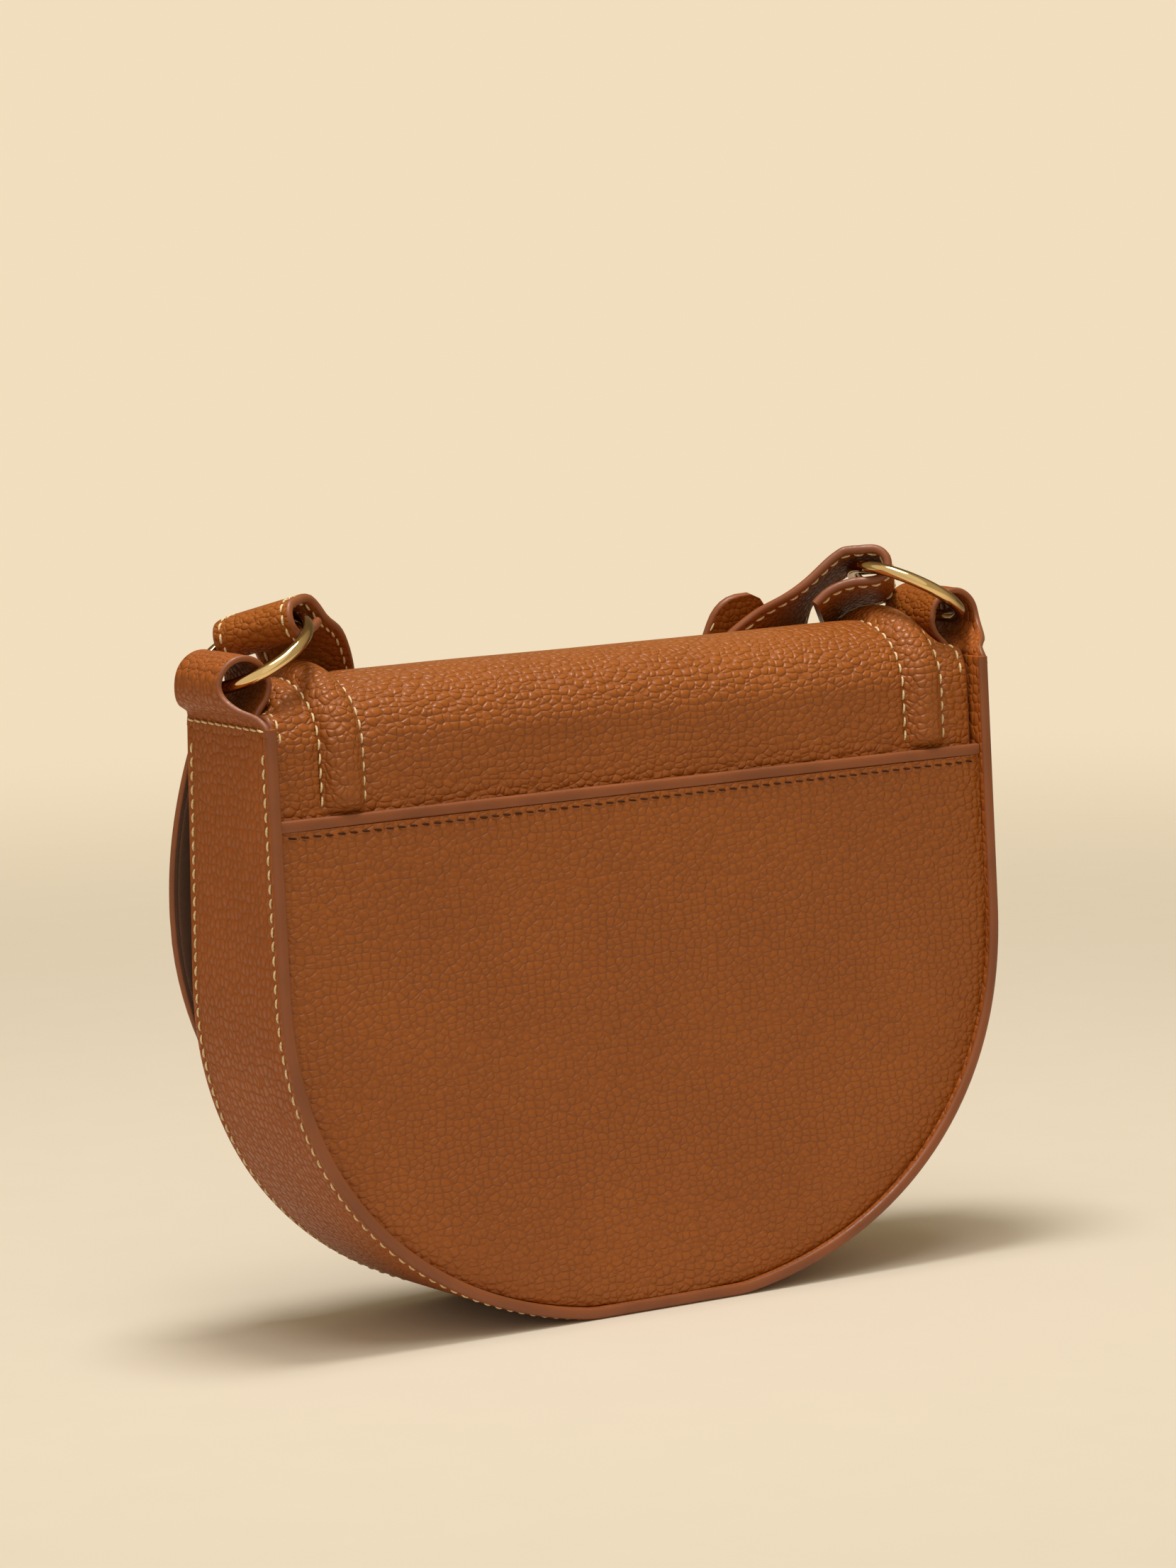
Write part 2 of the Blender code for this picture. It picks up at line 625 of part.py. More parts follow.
def ribbon(route, width, thickness, first_plane=None, last_plane=None):
    """A strap along the route, its ends square or on planes.

    A plane is a point and a normal. Stations too near a slanted end are left out.
    """
    clear = width * 0.5
    sections = []
    for i, (point, across) in enumerate(route):
        before, after = route[max(i - 1, 0)][0], route[min(i + 1, len(route) - 1)][0]
        along = (after - before).normalized()
        across = (across - along * across.dot(along)).normalized()
        face = across.cross(along)
        half_width, half_thick = across * width / 2, face * thickness / 2
        section = [point - half_width - half_thick, point + half_width - half_thick,
                   point + half_width + half_thick, point - half_width + half_thick]
        for plane, end in ((first_plane, 0), (last_plane, len(route) - 1)):
            if plane is None:
                continue
            if i == end:
                section = [corner + along * ((plane[0] - corner).dot(plane[1]) / along.dot(plane[1]))
                           for corner in section]
            elif (point - route[end][0]).length < clear:
                section = None
                break
        if section is not None:
            sections.append(section)
    return loft(sections)


def bend_line():
    """A point of the flap's bend on the leather, and the direction out of it."""
    y, z = flap_point(("dome", HINGE_TURN), FLAP_TOTAL)
    return Vector((0, y, z)), Vector((0, math.cos(HINGE_TURN), math.sin(HINGE_TURN)))


def shoulder(x, height):
    """A point on the bend's plane, height above the leather."""
    point, out = bend_line()
    return point + out * height + Vector((x, 0, 0))


def bend_plane(side):
    """The bend's plane, half a gap to the root's side (1) or the front's side (-1)."""
    point, out = bend_line()
    normal = Vector((0, -out.z, out.y))
    if normal.z < 0:
        normal.negate()
    return point + normal * side * SEAT / 2, normal


class Fold:
    """The strap's fold round a ring's far side: the middle of its bend and the way it leaves.

    Swing is its place round the ring from the ring's highest point, droop its slope below the
    ring's plane. A drooping fold needs a wider opening, because the wire curves inside it.
    """

    def __init__(self, ring, swing, droop):
        swing, droop = math.radians(swing), math.radians(droop)
        radial = ring.outward * math.cos(swing) + ring.across * math.sin(swing)
        up = ring.axis if ring.axis.z > 0 else -ring.axis
        self.across = ring.across * math.cos(swing) - ring.outward * math.sin(swing)
        self.away = radial * math.cos(droop) - up * math.sin(droop)
        self.up = radial * math.sin(droop) + up * math.cos(droop)
        reach = math.sqrt(RING_RADIUS ** 2 - (STRAP_WIDTH / 2) ** 2) - FOLD_PLAY
        lift = (RING_RADIUS - reach) * math.sin(droop) / 2
        self.middle = ring.centre + radial * reach + self.up * lift
        self.half = WIRE_RADIUS + FOLD_FREE + lift + STRAP_THICKNESS / 2

    def at(self, away, up):
        return self.middle + self.away * away + self.up * up, self.across

    def bend(self):
        """Knots round the closed end, from under the ring's wire to over it."""
        turns = [math.radians(-90 - 30 * i) for i in range(7)]
        return [self.at(self.half * math.cos(turn), self.half * math.sin(turn)) for turn in turns]

    def turned_down(self, radius, degrees, run):
        """Knots of the upper layer: past the wire it turns down, then runs straight on."""
        knots = [self.at(FOLD_STRAIGHT * 0.5, self.half), self.at(FOLD_STRAIGHT, self.half)]
        for share in (0.5, 1):
            turn = math.radians(degrees) * share
            away = FOLD_STRAIGHT + radius * math.sin(turn)
            up = self.half - radius * (1 - math.cos(turn))
            knots.append(self.at(away, up))
        knots.append(self.at(away + run * math.cos(turn), up - run * math.sin(turn)))
        return knots

    def under(self, places):
        """Knots of the under layer, from its end to the bend. Places are (away, up) in mm."""
        return [self.at(away * MM, up * MM) for away, up in places]


LEFT_FOLD = Fold(LEFT_RING, -33, 20)
RIGHT_FOLD = Fold(RIGHT_RING, -46, 25)
LEFT_END = Vector((27, -32.6, 42)) * MM
RIGHT_END = Vector((-37.3, -33.1, 42)) * MM
STATION_SPACING = 4 * MM


def knot(x, y, z, across):
    """A knot of a strap's route from millimetres."""
    return Vector((x, y, z)) * MM, across


def rim_knot(x, y, rise, across):
    """A knot whose height counts from the body's rim."""
    return knot(x, y, RIM_HEIGHT / MM + rise, across)


def front_knot(x, y, share, across):
    """A knot on the front, a share of the way from the straps' parting up to the rim."""
    return knot(x, y, lerp(STRAP_SPLIT_HEIGHT, RIM_HEIGHT, share) / MM, across)


def left_knots():
    """The long strap from its fold on the left ring, over the dome and down the flap's front."""
    over = LEFT_FOLD.under([(11, -3.0), (8, -3.7), (4, -4.1)]) + LEFT_FOLD.bend()
    over += LEFT_FOLD.turned_down(8 * MM, 60, 3 * MM)
    over.append(rim_knot(79.5, -21, 16, (-0.72, 0.60, 0.35)))
    over.append(rim_knot(75.2, -23.8, 8, (-0.85, 0.36, 0.38)))
    over.append((shoulder(71.5 * MM, 3.2 * MM), (-0.92, 0.15, 0.36)))
    down = [rim_knot(69.3, -28.9, -9, (-0.95, 0.05, 0.30))]
    for x, y, share in ((64, -31.0, 0.818), (54.5, -33.4, 0.615), (44, -33.2, 0.389), (34.5, -32.8, 0.178)):
        down.append(front_knot(x, y, share, (-0.96, 0, 0.28)))
    down.append((LEFT_END, (-0.96, 0, 0.28)))
    return over, down


# The short strap and the tail run straight between the bend and the buckle.
RUN_LOW = Vector((-57.2, -37.8, -37.5)) * MM + Vector((0, 0, RIM_HEIGHT))
RUN_HIGH = Vector((-62.0, -33.6, -5.5)) * MM + Vector((0, 0, RIM_HEIGHT))
RUN_UP = (RUN_HIGH - RUN_LOW).normalized()
RUN_ACROSS = (Vector((1, 0, 0)) - RUN_UP * RUN_UP.x).normalized()
RUN_OUT = RUN_ACROSS.cross(RUN_UP)
BAR_SEAT = BAR_RADIUS + SEAT + STRAP_THICKNESS / 2
TOP_BAR_UP = -14 * MM
LOW_BAR_UP = TOP_BAR_UP - FRAME_LENGTH
TAIL_LIFT = STRAP_THICKNESS + SEAT


def run_point(up, out=0):
    """A point on the straight run, up from its low end and out from the short strap's middle."""
    return RUN_LOW + RUN_UP * up + RUN_OUT * out


TOP_BAR = run_point(TOP_BAR_UP, -BAR_SEAT)
LOW_BAR = run_point(LOW_BAR_UP, -BAR_SEAT)


def short_strap_knots():
    """The short strap: fold on the right ring, over the dome, down and round the buckle's bar."""
    over = RIGHT_FOLD.under([(15.4, -8.6), (12.6, -6.2), (9.5, -5.1), (5, -4.6)])
    over += RIGHT_FOLD.bend() + RIGHT_FOLD.turned_down(4 * MM, 38, 13 * MM)
    over.append(rim_knot(-74.5, -22.6, 7.7, (0.85, 0.30, 0.42)))
    over.append((shoulder(-66 * MM, 2.9 * MM), (0.93, 0.12, 0.35)))
    down = [rim_knot(-61.8, -30.6, -9.5, (0.97, 0.04, 0.22))]
    down += [(run_point(up * MM), RUN_ACROSS) for up in (20, 10, 0)]
    for i in range(7):
        turn = math.radians(30 * i)
        point = TOP_BAR + (RUN_OUT * math.cos(turn) - RUN_UP * math.sin(turn)) * BAR_SEAT
        down.append((point, RUN_ACROSS))
    for up, spare in ((10, 0.9), (18, 0.3)):
        down.append((run_point(TOP_BAR_UP + up * MM, -2 * STRAP_LAYER - spare * MM), RUN_ACROSS))
    return over, down


def frame_knots():
    """The long strap in the buckle: behind the low bar, then over the short strap's turn."""
    over_turn = BAR_SEAT + STRAP_THICKNESS + SEAT
    lean = math.asin((BAR_SEAT + over_turn) / FRAME_LENGTH)
    knots = []
    for up, radius, side, shares in ((LOW_BAR_UP, BAR_SEAT, 1, (0, 0.5, 1)),
                                     (TOP_BAR_UP, over_turn, -1, (1, 0.5, 0))):
        for share in shares:
            turn = lean * share
            place = run_point(up + side * radius * math.sin(turn), -BAR_SEAT - side * radius * math.cos(turn))
            knots.append((place, RUN_ACROSS))
    return knots


def long_strap_knots():
    """The long strap's other end: up from the floor, through the buckle, then its free tail."""
    up_front = [(RIGHT_END, RUN_ACROSS), knot(-46, -34.8, 68, RUN_ACROSS),
                (run_point(LOW_BAR_UP - 8 * MM, -2 * BAR_SEAT), RUN_ACROSS)]
    up_front += frame_knots()
    up_front += [(run_point(up * MM, TAIL_LIFT), RUN_ACROSS) for up in (0, 10, 20)]
    up_front.append(rim_knot(-61.7, -34.2, -9.2, RUN_ACROSS))
    bend = (shoulder(-63.2 * MM, 6.4 * MM), (0.98, 0, 0.15))
    tip = [rim_knot(-63.2, -28.2, 9.5, (1, 0, 0)), rim_knot(-62.8, -26.4, 18.5, (1, 0, 0))]
    return up_front, bend, tip


def floor_knots():
    """The long strap's slack, laid away on the floor in front of the bag and folded back on itself."""
    flat = (-0.839, 0.545, 0)
    away = (LEFT_END - left_knots()[1][-2][0]).normalized()
    low = STRAP_THICKNESS / 2 / MM
    high = low + (STRAP_THICKNESS + SEAT) / MM
    knots = [(LEFT_END, (-0.96, 0, 0.28)), (LEFT_END + away * 7 * MM, (-0.96, 0, 0.28)),
             (Vector((20.8, -34.2, 22)) * MM, (-0.95, 0.1, 0.25)),
             (Vector((12, -40, 8.5)) * MM, (-0.92, 0.3, 0.1))]
    for x, y, z in ((-5, -53, low + 0.6), (-24, -76, low), (-60, -131, low), (-110, -208, low), (-150, -270, low),
                    (-174, -306, 6), (-183, -320, 18), (-175, -308, 30), (-157, -280, 24), (-137, -249, 10),
                    (-117, -218, high + 0.4), (-98, -188, high), (-72, -148, high), (-54, -110, high + 0.6),
                    (-45, -74, 10)):
        knots.append((Vector((x, y, z)) * MM, flat))
    knots.append((Vector((-38, -42, 20)) * MM, (-0.93, 0.3, 0)))
    away = (RIGHT_END - long_strap_knots()[0][1][0]).normalized()
    knots.append((RIGHT_END + away * 7 * MM, -RUN_ACROSS))
    knots.append((RIGHT_END, -RUN_ACROSS))
    return knots


def split_plane(side):
    """The level plane between the front stretches and the floor run, half a gap up or down."""
    return Vector((0, 0, STRAP_SPLIT_HEIGHT + side * SEAT / 2)), Vector((0, 0, 1))


def split_route(over, down):
    """One smooth route through both lists of knots, parted at the last knot of the first."""
    route, marks = smooth_route(over + down, STATION_SPACING)
    parting = marks[len(over) - 1]
    return route[:parting + 1], route[parting:]


def along_cutter(name, centre, direction, radius, length):
    """A round cutter about a line, centred on it."""
    solid = turned_solid([(radius, -length / 2), (radius, length / 2)], 16)
    turn = Vector(direction).to_track_quat("Z", "Y").to_matrix().to_4x4()
    bmesh.ops.transform(solid, matrix=Matrix.Translation(centre) @ turn, verts=solid.verts)
    return add_cutter(name, solid)


def frame_box(name, up, out, size_across, size_up, size_out):
    """A box cutter in the straight run's own directions."""
    solid = bmesh.new()
    bmesh.ops.create_cube(solid, size=1)
    axes = Matrix((RUN_ACROSS * size_across, RUN_UP * size_up, RUN_OUT * size_out)).transposed().to_4x4()
    bmesh.ops.transform(solid, matrix=Matrix.Translation(run_point(up, out)) @ axes, verts=solid.verts)
    return solid


def add_left_strap():
    over, down = split_route(*left_knots())
    fold = ribbon(over, STRAP_WIDTH, STRAP_THICKNESS, last_plane=bend_plane(1))
    front = ribbon(down, STRAP_WIDTH, STRAP_THICKNESS, bend_plane(-1), split_plane(1))
    add_object("left_strap_fold", fold, LEATHER, True)
    return add_object("left_strap_front", front, LEATHER, True)


def add_short_strap():
    over, down = split_route(*short_strap_knots())
    fold = ribbon(over, STRAP_WIDTH, STRAP_THICKNESS, last_plane=bend_plane(1))
    front = ribbon(down, STRAP_WIDTH, STRAP_THICKNESS, first_plane=bend_plane(-1))
    add_object("right_strap_fold", fold, LEATHER, True)
    strap = add_object("right_strap_front", front, LEATHER, True)
    slot = frame_box("prong_slot", TOP_BAR_UP, -BAR_SEAT, PRONG_SLOT, 15 * MM, 2 * BAR_SEAT + 2 * STRAP_THICKNESS)
    boolean(strap, add_cutter("prong_slot", slot), "DIFFERENCE")
    return strap


def prong_line():
    """The prong's pin: from its sleeve on the top bar to its rest on the low bar."""
    start = TOP_BAR - RUN_UP * (BAR_RADIUS + SEAT + PRONG_RADIUS * 0.4)
    rest = LOW_BAR + RUN_OUT * (BAR_RADIUS + SEAT + PRONG_RADIUS)
    return start, rest + (rest - start).normalized() * 2.2 * MM


def add_long_strap():
    up_front, bend, tip = long_strap_knots()
    route, marks = smooth_route(up_front + [bend] + tip, STATION_SPACING)
    parting = marks[len(up_front)]
    front = ribbon(route[:parting + 1], STRAP_WIDTH, STRAP_THICKNESS, split_plane(1), bend_plane(-1))
    strap = add_object("long_strap_front", front, LEATHER, True)
    start, end = prong_line()
    boolean(strap, along_cutter("prong_hole", (start + end) / 2, end - start, HOLE_RADIUS, 26 * MM), "DIFFERENCE")
    hole_up = LOW_BAR_UP + FRAME_LENGTH / 2
    for i, step in enumerate((1, 2)):
        place = run_point(hole_up + step * HOLE_PITCH, TAIL_LIFT)
        hole = along_cutter("strap_hole_%d" % (i + 1), place, RUN_OUT, HOLE_RADIUS * 0.8, STRAP_THICKNESS + 0.4 * MM)
        boolean(strap, hole, "DIFFERENCE")
    solid = tip_solid(bend, tip[-1][0], 6 * MM)
    add_object("long_strap_tip", solid, LEATHER, True)
    return strap


def tip_solid(bend, top, point_height):
    """The tail's pointed tip, which stands up past the bend."""
    plane_point, plane_normal = bend_plane(1)
    foot, across = bend
    up = (top - foot).normalized()
    across = Vector((1, 0, 0)) - up * up.x
    across.normalize()
    face = across.cross(up)
    half = STRAP_WIDTH / 2 - 1.5 * MM
    height = (top - foot).length
    outline = [(-half, None), (half, None), (half, height - point_height), (half * 0.55, height - 1.5 * MM),
               (0, height), (-half * 0.55, height - 1.5 * MM), (-half, height - point_height)]
    sections = []
    for side in (-1, 1):
        section = []
        for x, h in outline:
            corner = foot + across * x + face * side * STRAP_THICKNESS / 2 + up * (h or 0)
            if h is None:
                corner += up * ((plane_point - corner).dot(plane_normal) / up.dot(plane_normal))
            section.append(corner)
        sections.append(section)
    return loft(sections)


def add_floor_run():
    route = smooth_route(floor_knots(), 3 * STATION_SPACING)[0]
    floor = STRAP_THICKNESS / 2
    route = [(Vector((p.x, p.y, max(p.z, floor))), across) for p, across in route]
    run = ribbon(route, STRAP_WIDTH, STRAP_THICKNESS, split_plane(-1), split_plane(-1))
    for vert in run.verts:
        vert.co.z = max(vert.co.z, 0)
    return add_object("strap_floor_run", run, LEATHER, True)


# Buckle

def add_buckle():
    """The frame, a closed wire with rounded corners, and its prong."""
    half = STRAP_WIDTH / 2 + 2 * SEAT + BAR_RADIUS + 0.4 * MM
    middle = (TOP_BAR + LOW_BAR) / 2
    points = []
    for corner in range(4):
        sign_x = (1, -1, -1, 1)[corner]
        sign_up = (1, 1, -1, -1)[corner]
        for i in range(5):
            turn = math.pi / 2 * (corner + i / 4)
            across = sign_x * (half - FRAME_CORNER) + FRAME_CORNER * math.cos(turn)
            up = sign_up * (FRAME_LENGTH / 2 - FRAME_CORNER) + FRAME_CORNER * math.sin(turn)
            points.append(middle + RUN_ACROSS * across + RUN_UP * up)
    frame = add_object("buckle_frame", tube_ring(points, BAR_RADIUS, 10), GOLD, True)

    start, end = prong_line()
    sleeve_radius = BAR_RADIUS + SEAT + 1.2 * MM
    profile = [(BAR_RADIUS + SEAT, -PRONG_SLEEVE_WIDTH / 2), (sleeve_radius, -PRONG_SLEEVE_WIDTH / 2),
               (sleeve_radius, PRONG_SLEEVE_WIDTH / 2), (BAR_RADIUS + SEAT, PRONG_SLEEVE_WIDTH / 2)]
    sleeve = turned(profile, 20)
    axes = Matrix((RUN_UP, RUN_OUT, RUN_ACROSS)).transposed().to_4x4()
    bmesh.ops.transform(sleeve, matrix=axes, verts=sleeve.verts)
    prong = add_object("prong", sleeve, GOLD, True)
    pin = turned_solid([(PRONG_RADIUS, 0), (PRONG_RADIUS, (end - start).length - 1 * MM),
                        (PRONG_RADIUS * 0.6, (end - start).length)], 12)
    turn = (end - start).to_track_quat("Z", "Y").to_matrix().to_4x4()
    begin = start + (start - TOP_BAR).normalized() * (sleeve_radius - BAR_RADIUS) * 0.4
    bmesh.ops.transform(pin, matrix=Matrix.Translation(begin - TOP_BAR) @ turn, verts=pin.verts)
    pin_cutter = add_cutter("prong_pin", pin)
    boolean(prong, pin_cutter, "UNION")
    pivot = add_pivot("prong_pivot", TOP_BAR, [])
    prong.parent = pivot
    pin_cutter.parent = pivot
    return frame, prong


def add_keeper():
    """The sliding loop that holds the tail on the short strap."""
    inner_across = STRAP_WIDTH + 2 * KEEPER_FREE
    inner_out = STRAP_THICKNESS + TAIL_LIFT + 2 * KEEPER_FREE
    outer = frame_box("keeper", KEEPER_UP, TAIL_LIFT / 2, inner_across + 2 * KEEPER_LEATHER, KEEPER_LENGTH,
                      inner_out + 2 * KEEPER_LEATHER)
    keeper = add_object("strap_keeper", outer, LEATHER)
    inside = frame_box("keeper_inside", KEEPER_UP, TAIL_LIFT / 2, inner_across, 2 * KEEPER_LENGTH, inner_out)
    boolean(keeper, add_cutter("keeper_inside", inside), "DIFFERENCE")
    return keeper


def main():
    clear_scene()
    add_body()
    riding = list(add_flap())
    riding += add_snap()[1:]
    for name, side in (("left_ring_loop", 1), ("right_ring_loop", -1)):
        add_loop(name, side)
    add_ring("left_ring", LEFT_RING)
    add_ring("right_ring", RIGHT_RING)
    riding += [add_left_strap(), add_short_strap(), add_long_strap()]
    add_floor_run()
    frame, prong = add_buckle()
    riding += [frame, add_keeper()]
    add_pivot("flap_pivot", shoulder(0, HINGE_OFFSET), riding)


if __name__ == "__main__":
    main()
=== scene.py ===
"""Looks of the half moon crossbody bag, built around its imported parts.

Each leather piece is a closed form with rolled painted edges, sewn lines and pebbled grain. The
metal pieces are smooth rings and wires. All sizes are metres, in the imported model's own frame.
"""
from math import asin, cos, exp, hypot, pi, radians, sin, sqrt, tau
import bmesh
import bpy
from bpy.props import FloatProperty, FloatVectorProperty, PointerProperty
from mathutils import Matrix, Vector, noise


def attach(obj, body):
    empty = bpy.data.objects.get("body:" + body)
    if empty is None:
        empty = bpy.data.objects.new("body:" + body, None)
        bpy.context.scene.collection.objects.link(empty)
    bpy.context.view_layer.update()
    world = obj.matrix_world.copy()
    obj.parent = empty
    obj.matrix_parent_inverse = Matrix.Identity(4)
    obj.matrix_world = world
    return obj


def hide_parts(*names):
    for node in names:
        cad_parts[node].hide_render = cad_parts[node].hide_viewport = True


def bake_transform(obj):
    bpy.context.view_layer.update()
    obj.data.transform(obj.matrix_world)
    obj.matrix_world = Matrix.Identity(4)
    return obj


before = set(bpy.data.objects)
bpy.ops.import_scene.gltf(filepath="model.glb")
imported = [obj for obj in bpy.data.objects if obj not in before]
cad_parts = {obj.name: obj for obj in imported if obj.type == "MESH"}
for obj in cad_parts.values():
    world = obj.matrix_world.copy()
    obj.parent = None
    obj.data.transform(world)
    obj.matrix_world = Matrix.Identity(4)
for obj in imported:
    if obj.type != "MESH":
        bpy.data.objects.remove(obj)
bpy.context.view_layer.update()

bl_info = {
    "name": "Half Moon Crossbody Bag",
    "version": (1, 0, 0),
    "blender": (4, 5, 0),
    "location": "View3D > Sidebar > Bag",
    "description": "Dresses the bag's packed parts with leather, thread, lining and metal",
    "category": "Object",
}

MM = 0.001
SEAT = 0.3 * MM

# Body
HALF_WIDTH = 115 * MM
BASE_CENTRE = 98 * MM
BASE_DROP = 99.5 * MM
BASE_ROUNDNESS = 2.2
RIM_HEIGHT = 165.5 * MM
DEPTH_BASE = 27.25 * MM
DEPTH_TOP = 21.15 * MM
RIM_LIP = 3.2 * MM
GUSSET_WALL = 2.2 * MM
LINING = 0.8 * MM
POCKET_SET_IN = 2.3 * MM
POCKET_THICK = 1.8 * MM
POCKET_TOP = 141.5 * MM
POCKET_CROWN = 0.9 * MM
BINDING_HEIGHT = 3.0 * MM
BACK_THICK = 1.8 * MM
BACK_TOP = 158 * MM
FRONT_SET_IN = 2.5 * MM
FRONT_THICK = 2.2 * MM
FRONT_TOP = 150 * MM

# Flap
FLAP_LEATHER = 2.0 * MM
FLAP_LINING = 0.9 * MM
FLAP_TOTAL = FLAP_LINING + SEAT + FLAP_LEATHER
STAND_OFF = 0.6 * MM
BULGE = 4.5 * MM
BULGE_BOTTOM = 75 * MM
ROOT_SET_IN = POCKET_SET_IN + POCKET_THICK + SEAT
ROOT_BOTTOM = 118 * MM
DOME_Y = -2.6 * MM
DOME_Z = 158 * MM
DOME_RISE = 18 * MM
DOME_HALF_WIDTH = 104.6 * MM
ROOT_HALF_WIDTH = 111.0 * MM
FLAP_HALF_WIDTH = 116.7 * MM
FLAP_WIDEST = 112 * MM
FLAP_NARROW = 172 * MM
FLAP_BOTTOM = 32 * MM
FLAP_ROUNDNESS = 2.5
FLAP_SHOULDER = 3.5
CHANNEL_MIDDLES = (-95.3 * MM, 90.6 * MM)
EDGE_ROUND = 0.9 * MM
CHANNEL_HALF = 6.0 * MM
CHANNEL_HEIGHT = 3.6 * MM
SEAM_DIP = 1.0 * MM
SEAM_DIP_WIDTH = 1.2 * MM
END_SINK = 9.2 * MM
END_SINK_START = 101.6 * MM
FLAP_LINING_SET_IN = 1.6 * MM
SHORTEST_ROW = 9 * MM
HINGE_TURN = radians(162)

# Loops, rings and strap
LOOP_X = 113.5 * MM
LOOP_Z = 175.5 * MM
LOOP_BORE = 6.6 * MM
LOOP_LEATHER = 1.7 * MM
LOOP_FRONT = -14.5 * MM
LOOP_BACK = 8 * MM
LOOP_END = 9 * MM
RING_RADIUS = 16 * MM
WIRE_RADIUS = 1.7 * MM
STRAP_WIDTH = 24 * MM
STRAP_THICK = 2.4 * MM
STRAP_PINCH = 0.25 * MM
STRAP_LAYER = STRAP_THICK / 2 + SEAT / 2
STITCH_INSET = 2.6 * MM
SEAM_WIDTH = 0.8 * MM
EDGE_SHARE = 0.8
BAR_RADIUS = 1.6 * MM
FRAME_LENGTH = 20 * MM

# The pebbled grain's cells
GRAIN_WARP = 1.2 * MM
GRAIN_RANDOMNESS = 0.72
GRAIN_SMOOTHNESS = 0.2

# Places of the finishes on a sewn piece
LEATHER, EDGE, UNDERSIDE = 0, 1, 2


# Node groups and materials

def linear(red, green, blue):
    """A colour from the 0 to 255 values that a screen shows."""
    def one(value):
        share = value / 255
        return share / 12.92 if share <= 0.04045 else ((share + 0.055) / 1.055) ** 2.4
    return (one(red), one(green), one(blue), 1)


def toned(colour, *shares):
    """A colour whose channels are multiplied by one share, or by one share each."""
    shares = shares * 3 if len(shares) == 1 else shares
    return tuple(min(channel * share, 1) for channel, share in zip(colour, shares)) + (1,)


def feed(tree, socket, value):
    """Links a socket to the one given as its value, or sets it to a plain value."""
    if isinstance(value, bpy.types.NodeSocket):
        tree.links.new(value, socket)
    else:
        socket.default_value = value


def add_node(tree, kind, settings=(), values=()):
    """A node with its settings. Its values are numbers, colours or other nodes' sockets."""
    node = tree.nodes.new(kind)
    for key, value in dict(settings).items():
        setattr(node, key, value)
    for key, value in dict(values).items():
        feed(tree, node.inputs[key], value)
    return node


def maths(tree, operation, first, second):
    return add_node(tree, "ShaderNodeMath", {"operation": operation}, {0: first, 1: second}).outputs[0]


def vector_maths(tree, operation, *values):
    return add_node(tree, "ShaderNodeVectorMath", {"operation": operation}, enumerate(values))


def ramped(tree, value, low, high, to_low=0.0, to_high=1.0):
    values = {"Value": value, "From Min": low, "From Max": high, "To Min": to_low, "To Max": to_high}
    return add_node(tree, "ShaderNodeMapRange", {"interpolation_type": "SMOOTHSTEP"}, values).outputs["Result"]


def noisy(tree, where, scale, detail, output="Fac"):
    values = {"Vector": where, "Scale": scale, "Detail": detail}
    return add_node(tree, "ShaderNodeTexNoise", values=values).outputs[output]


def blended(tree, kind, share, first, second):
    """A colour mix. Share, first and second are sockets or values."""
    node = add_node(tree, "ShaderNodeMix", {"data_type": "RGBA", "blend_type": kind})
    for key, shape, value in (("Factor", "VALUE", share), ("A", "RGBA", first), ("B", "RGBA", second)):
        feed(tree, next(s for s in node.inputs if s.name == key and s.type == shape), value)
    return next(s for s in node.outputs if s.type == "RGBA")


def new_group(name, inputs, outputs):
    """A shader node group, its input sockets, its results and the object's coordinates."""
    group = bpy.data.node_groups.new(name, "ShaderNodeTree")
    for label, value in inputs.items():
        kind = "NodeSocketVector" if isinstance(value, tuple) else "NodeSocketFloat"
        group.interface.new_socket(label, in_out="INPUT", socket_type=kind).default_value = value
    for label in outputs:
        group.interface.new_socket(label, in_out="OUTPUT", socket_type="NodeSocketFloat")
    start, end = group.nodes.new("NodeGroupInput"), group.nodes.new("NodeGroupOutput")
    return group, start.outputs, end.inputs, add_node(group, "ShaderNodeTexCoord").outputs["Object"]


def pebble_group():
    """Pebbled grain: rounded cells with creases between them, over slow swells of the hide."""
    group, given, results, where = new_group(
        "pebble_grain", {"Stretch": (1, 1, 1), "Cells per Metre": 560.0, "Crease": 0.22},
        ("Height", "Crease", "Tone", "Swell"))
    warp = noisy(group, where, 240.0, 1.0, "Color")
    shifted = vector_maths(group, "MULTIPLY_ADD", warp, (GRAIN_WARP,) * 3, where).outputs[0]
    stretched = vector_maths(group, "MULTIPLY", shifted, given["Stretch"]).outputs[0]
    values = {"Vector": stretched, "Scale": given["Cells per Metre"], "Randomness": GRAIN_RANDOMNESS}
    edge = add_node(group, "ShaderNodeTexVoronoi", {"feature": "DISTANCE_TO_EDGE"}, values)
    values["Smoothness"] = GRAIN_SMOOTHNESS
    cell = add_node(group, "ShaderNodeTexVoronoi", {"feature": "SMOOTH_F1"}, values)
    crease = ramped(group, edge.outputs["Distance"], 0.0, given["Crease"], 1.0, 0.0)
    fine = noisy(group, where, 2600.0, 2.0)
    square = maths(group, "MULTIPLY", cell.outputs["Distance"], cell.outputs["Distance"])
    dome = maths(group, "SUBTRACT", 1.0, maths(group, "MULTIPLY", square, 1.1))
    height = maths(group, "SUBTRACT", dome, maths(group, "MULTIPLY", crease, 0.30))
    tone = add_node(group, "ShaderNodeSeparateColor", values={0: cell.outputs["Color"]})
    feed(group, results["Height"], maths(group, "ADD", height, maths(group, "MULTIPLY", fine, 0.03)))
    feed(group, results["Crease"], crease)
    feed(group, results["Tone"], tone.outputs[0])
    feed(group, results["Swell"], noisy(group, where, 26.0, 3.0))
    return group


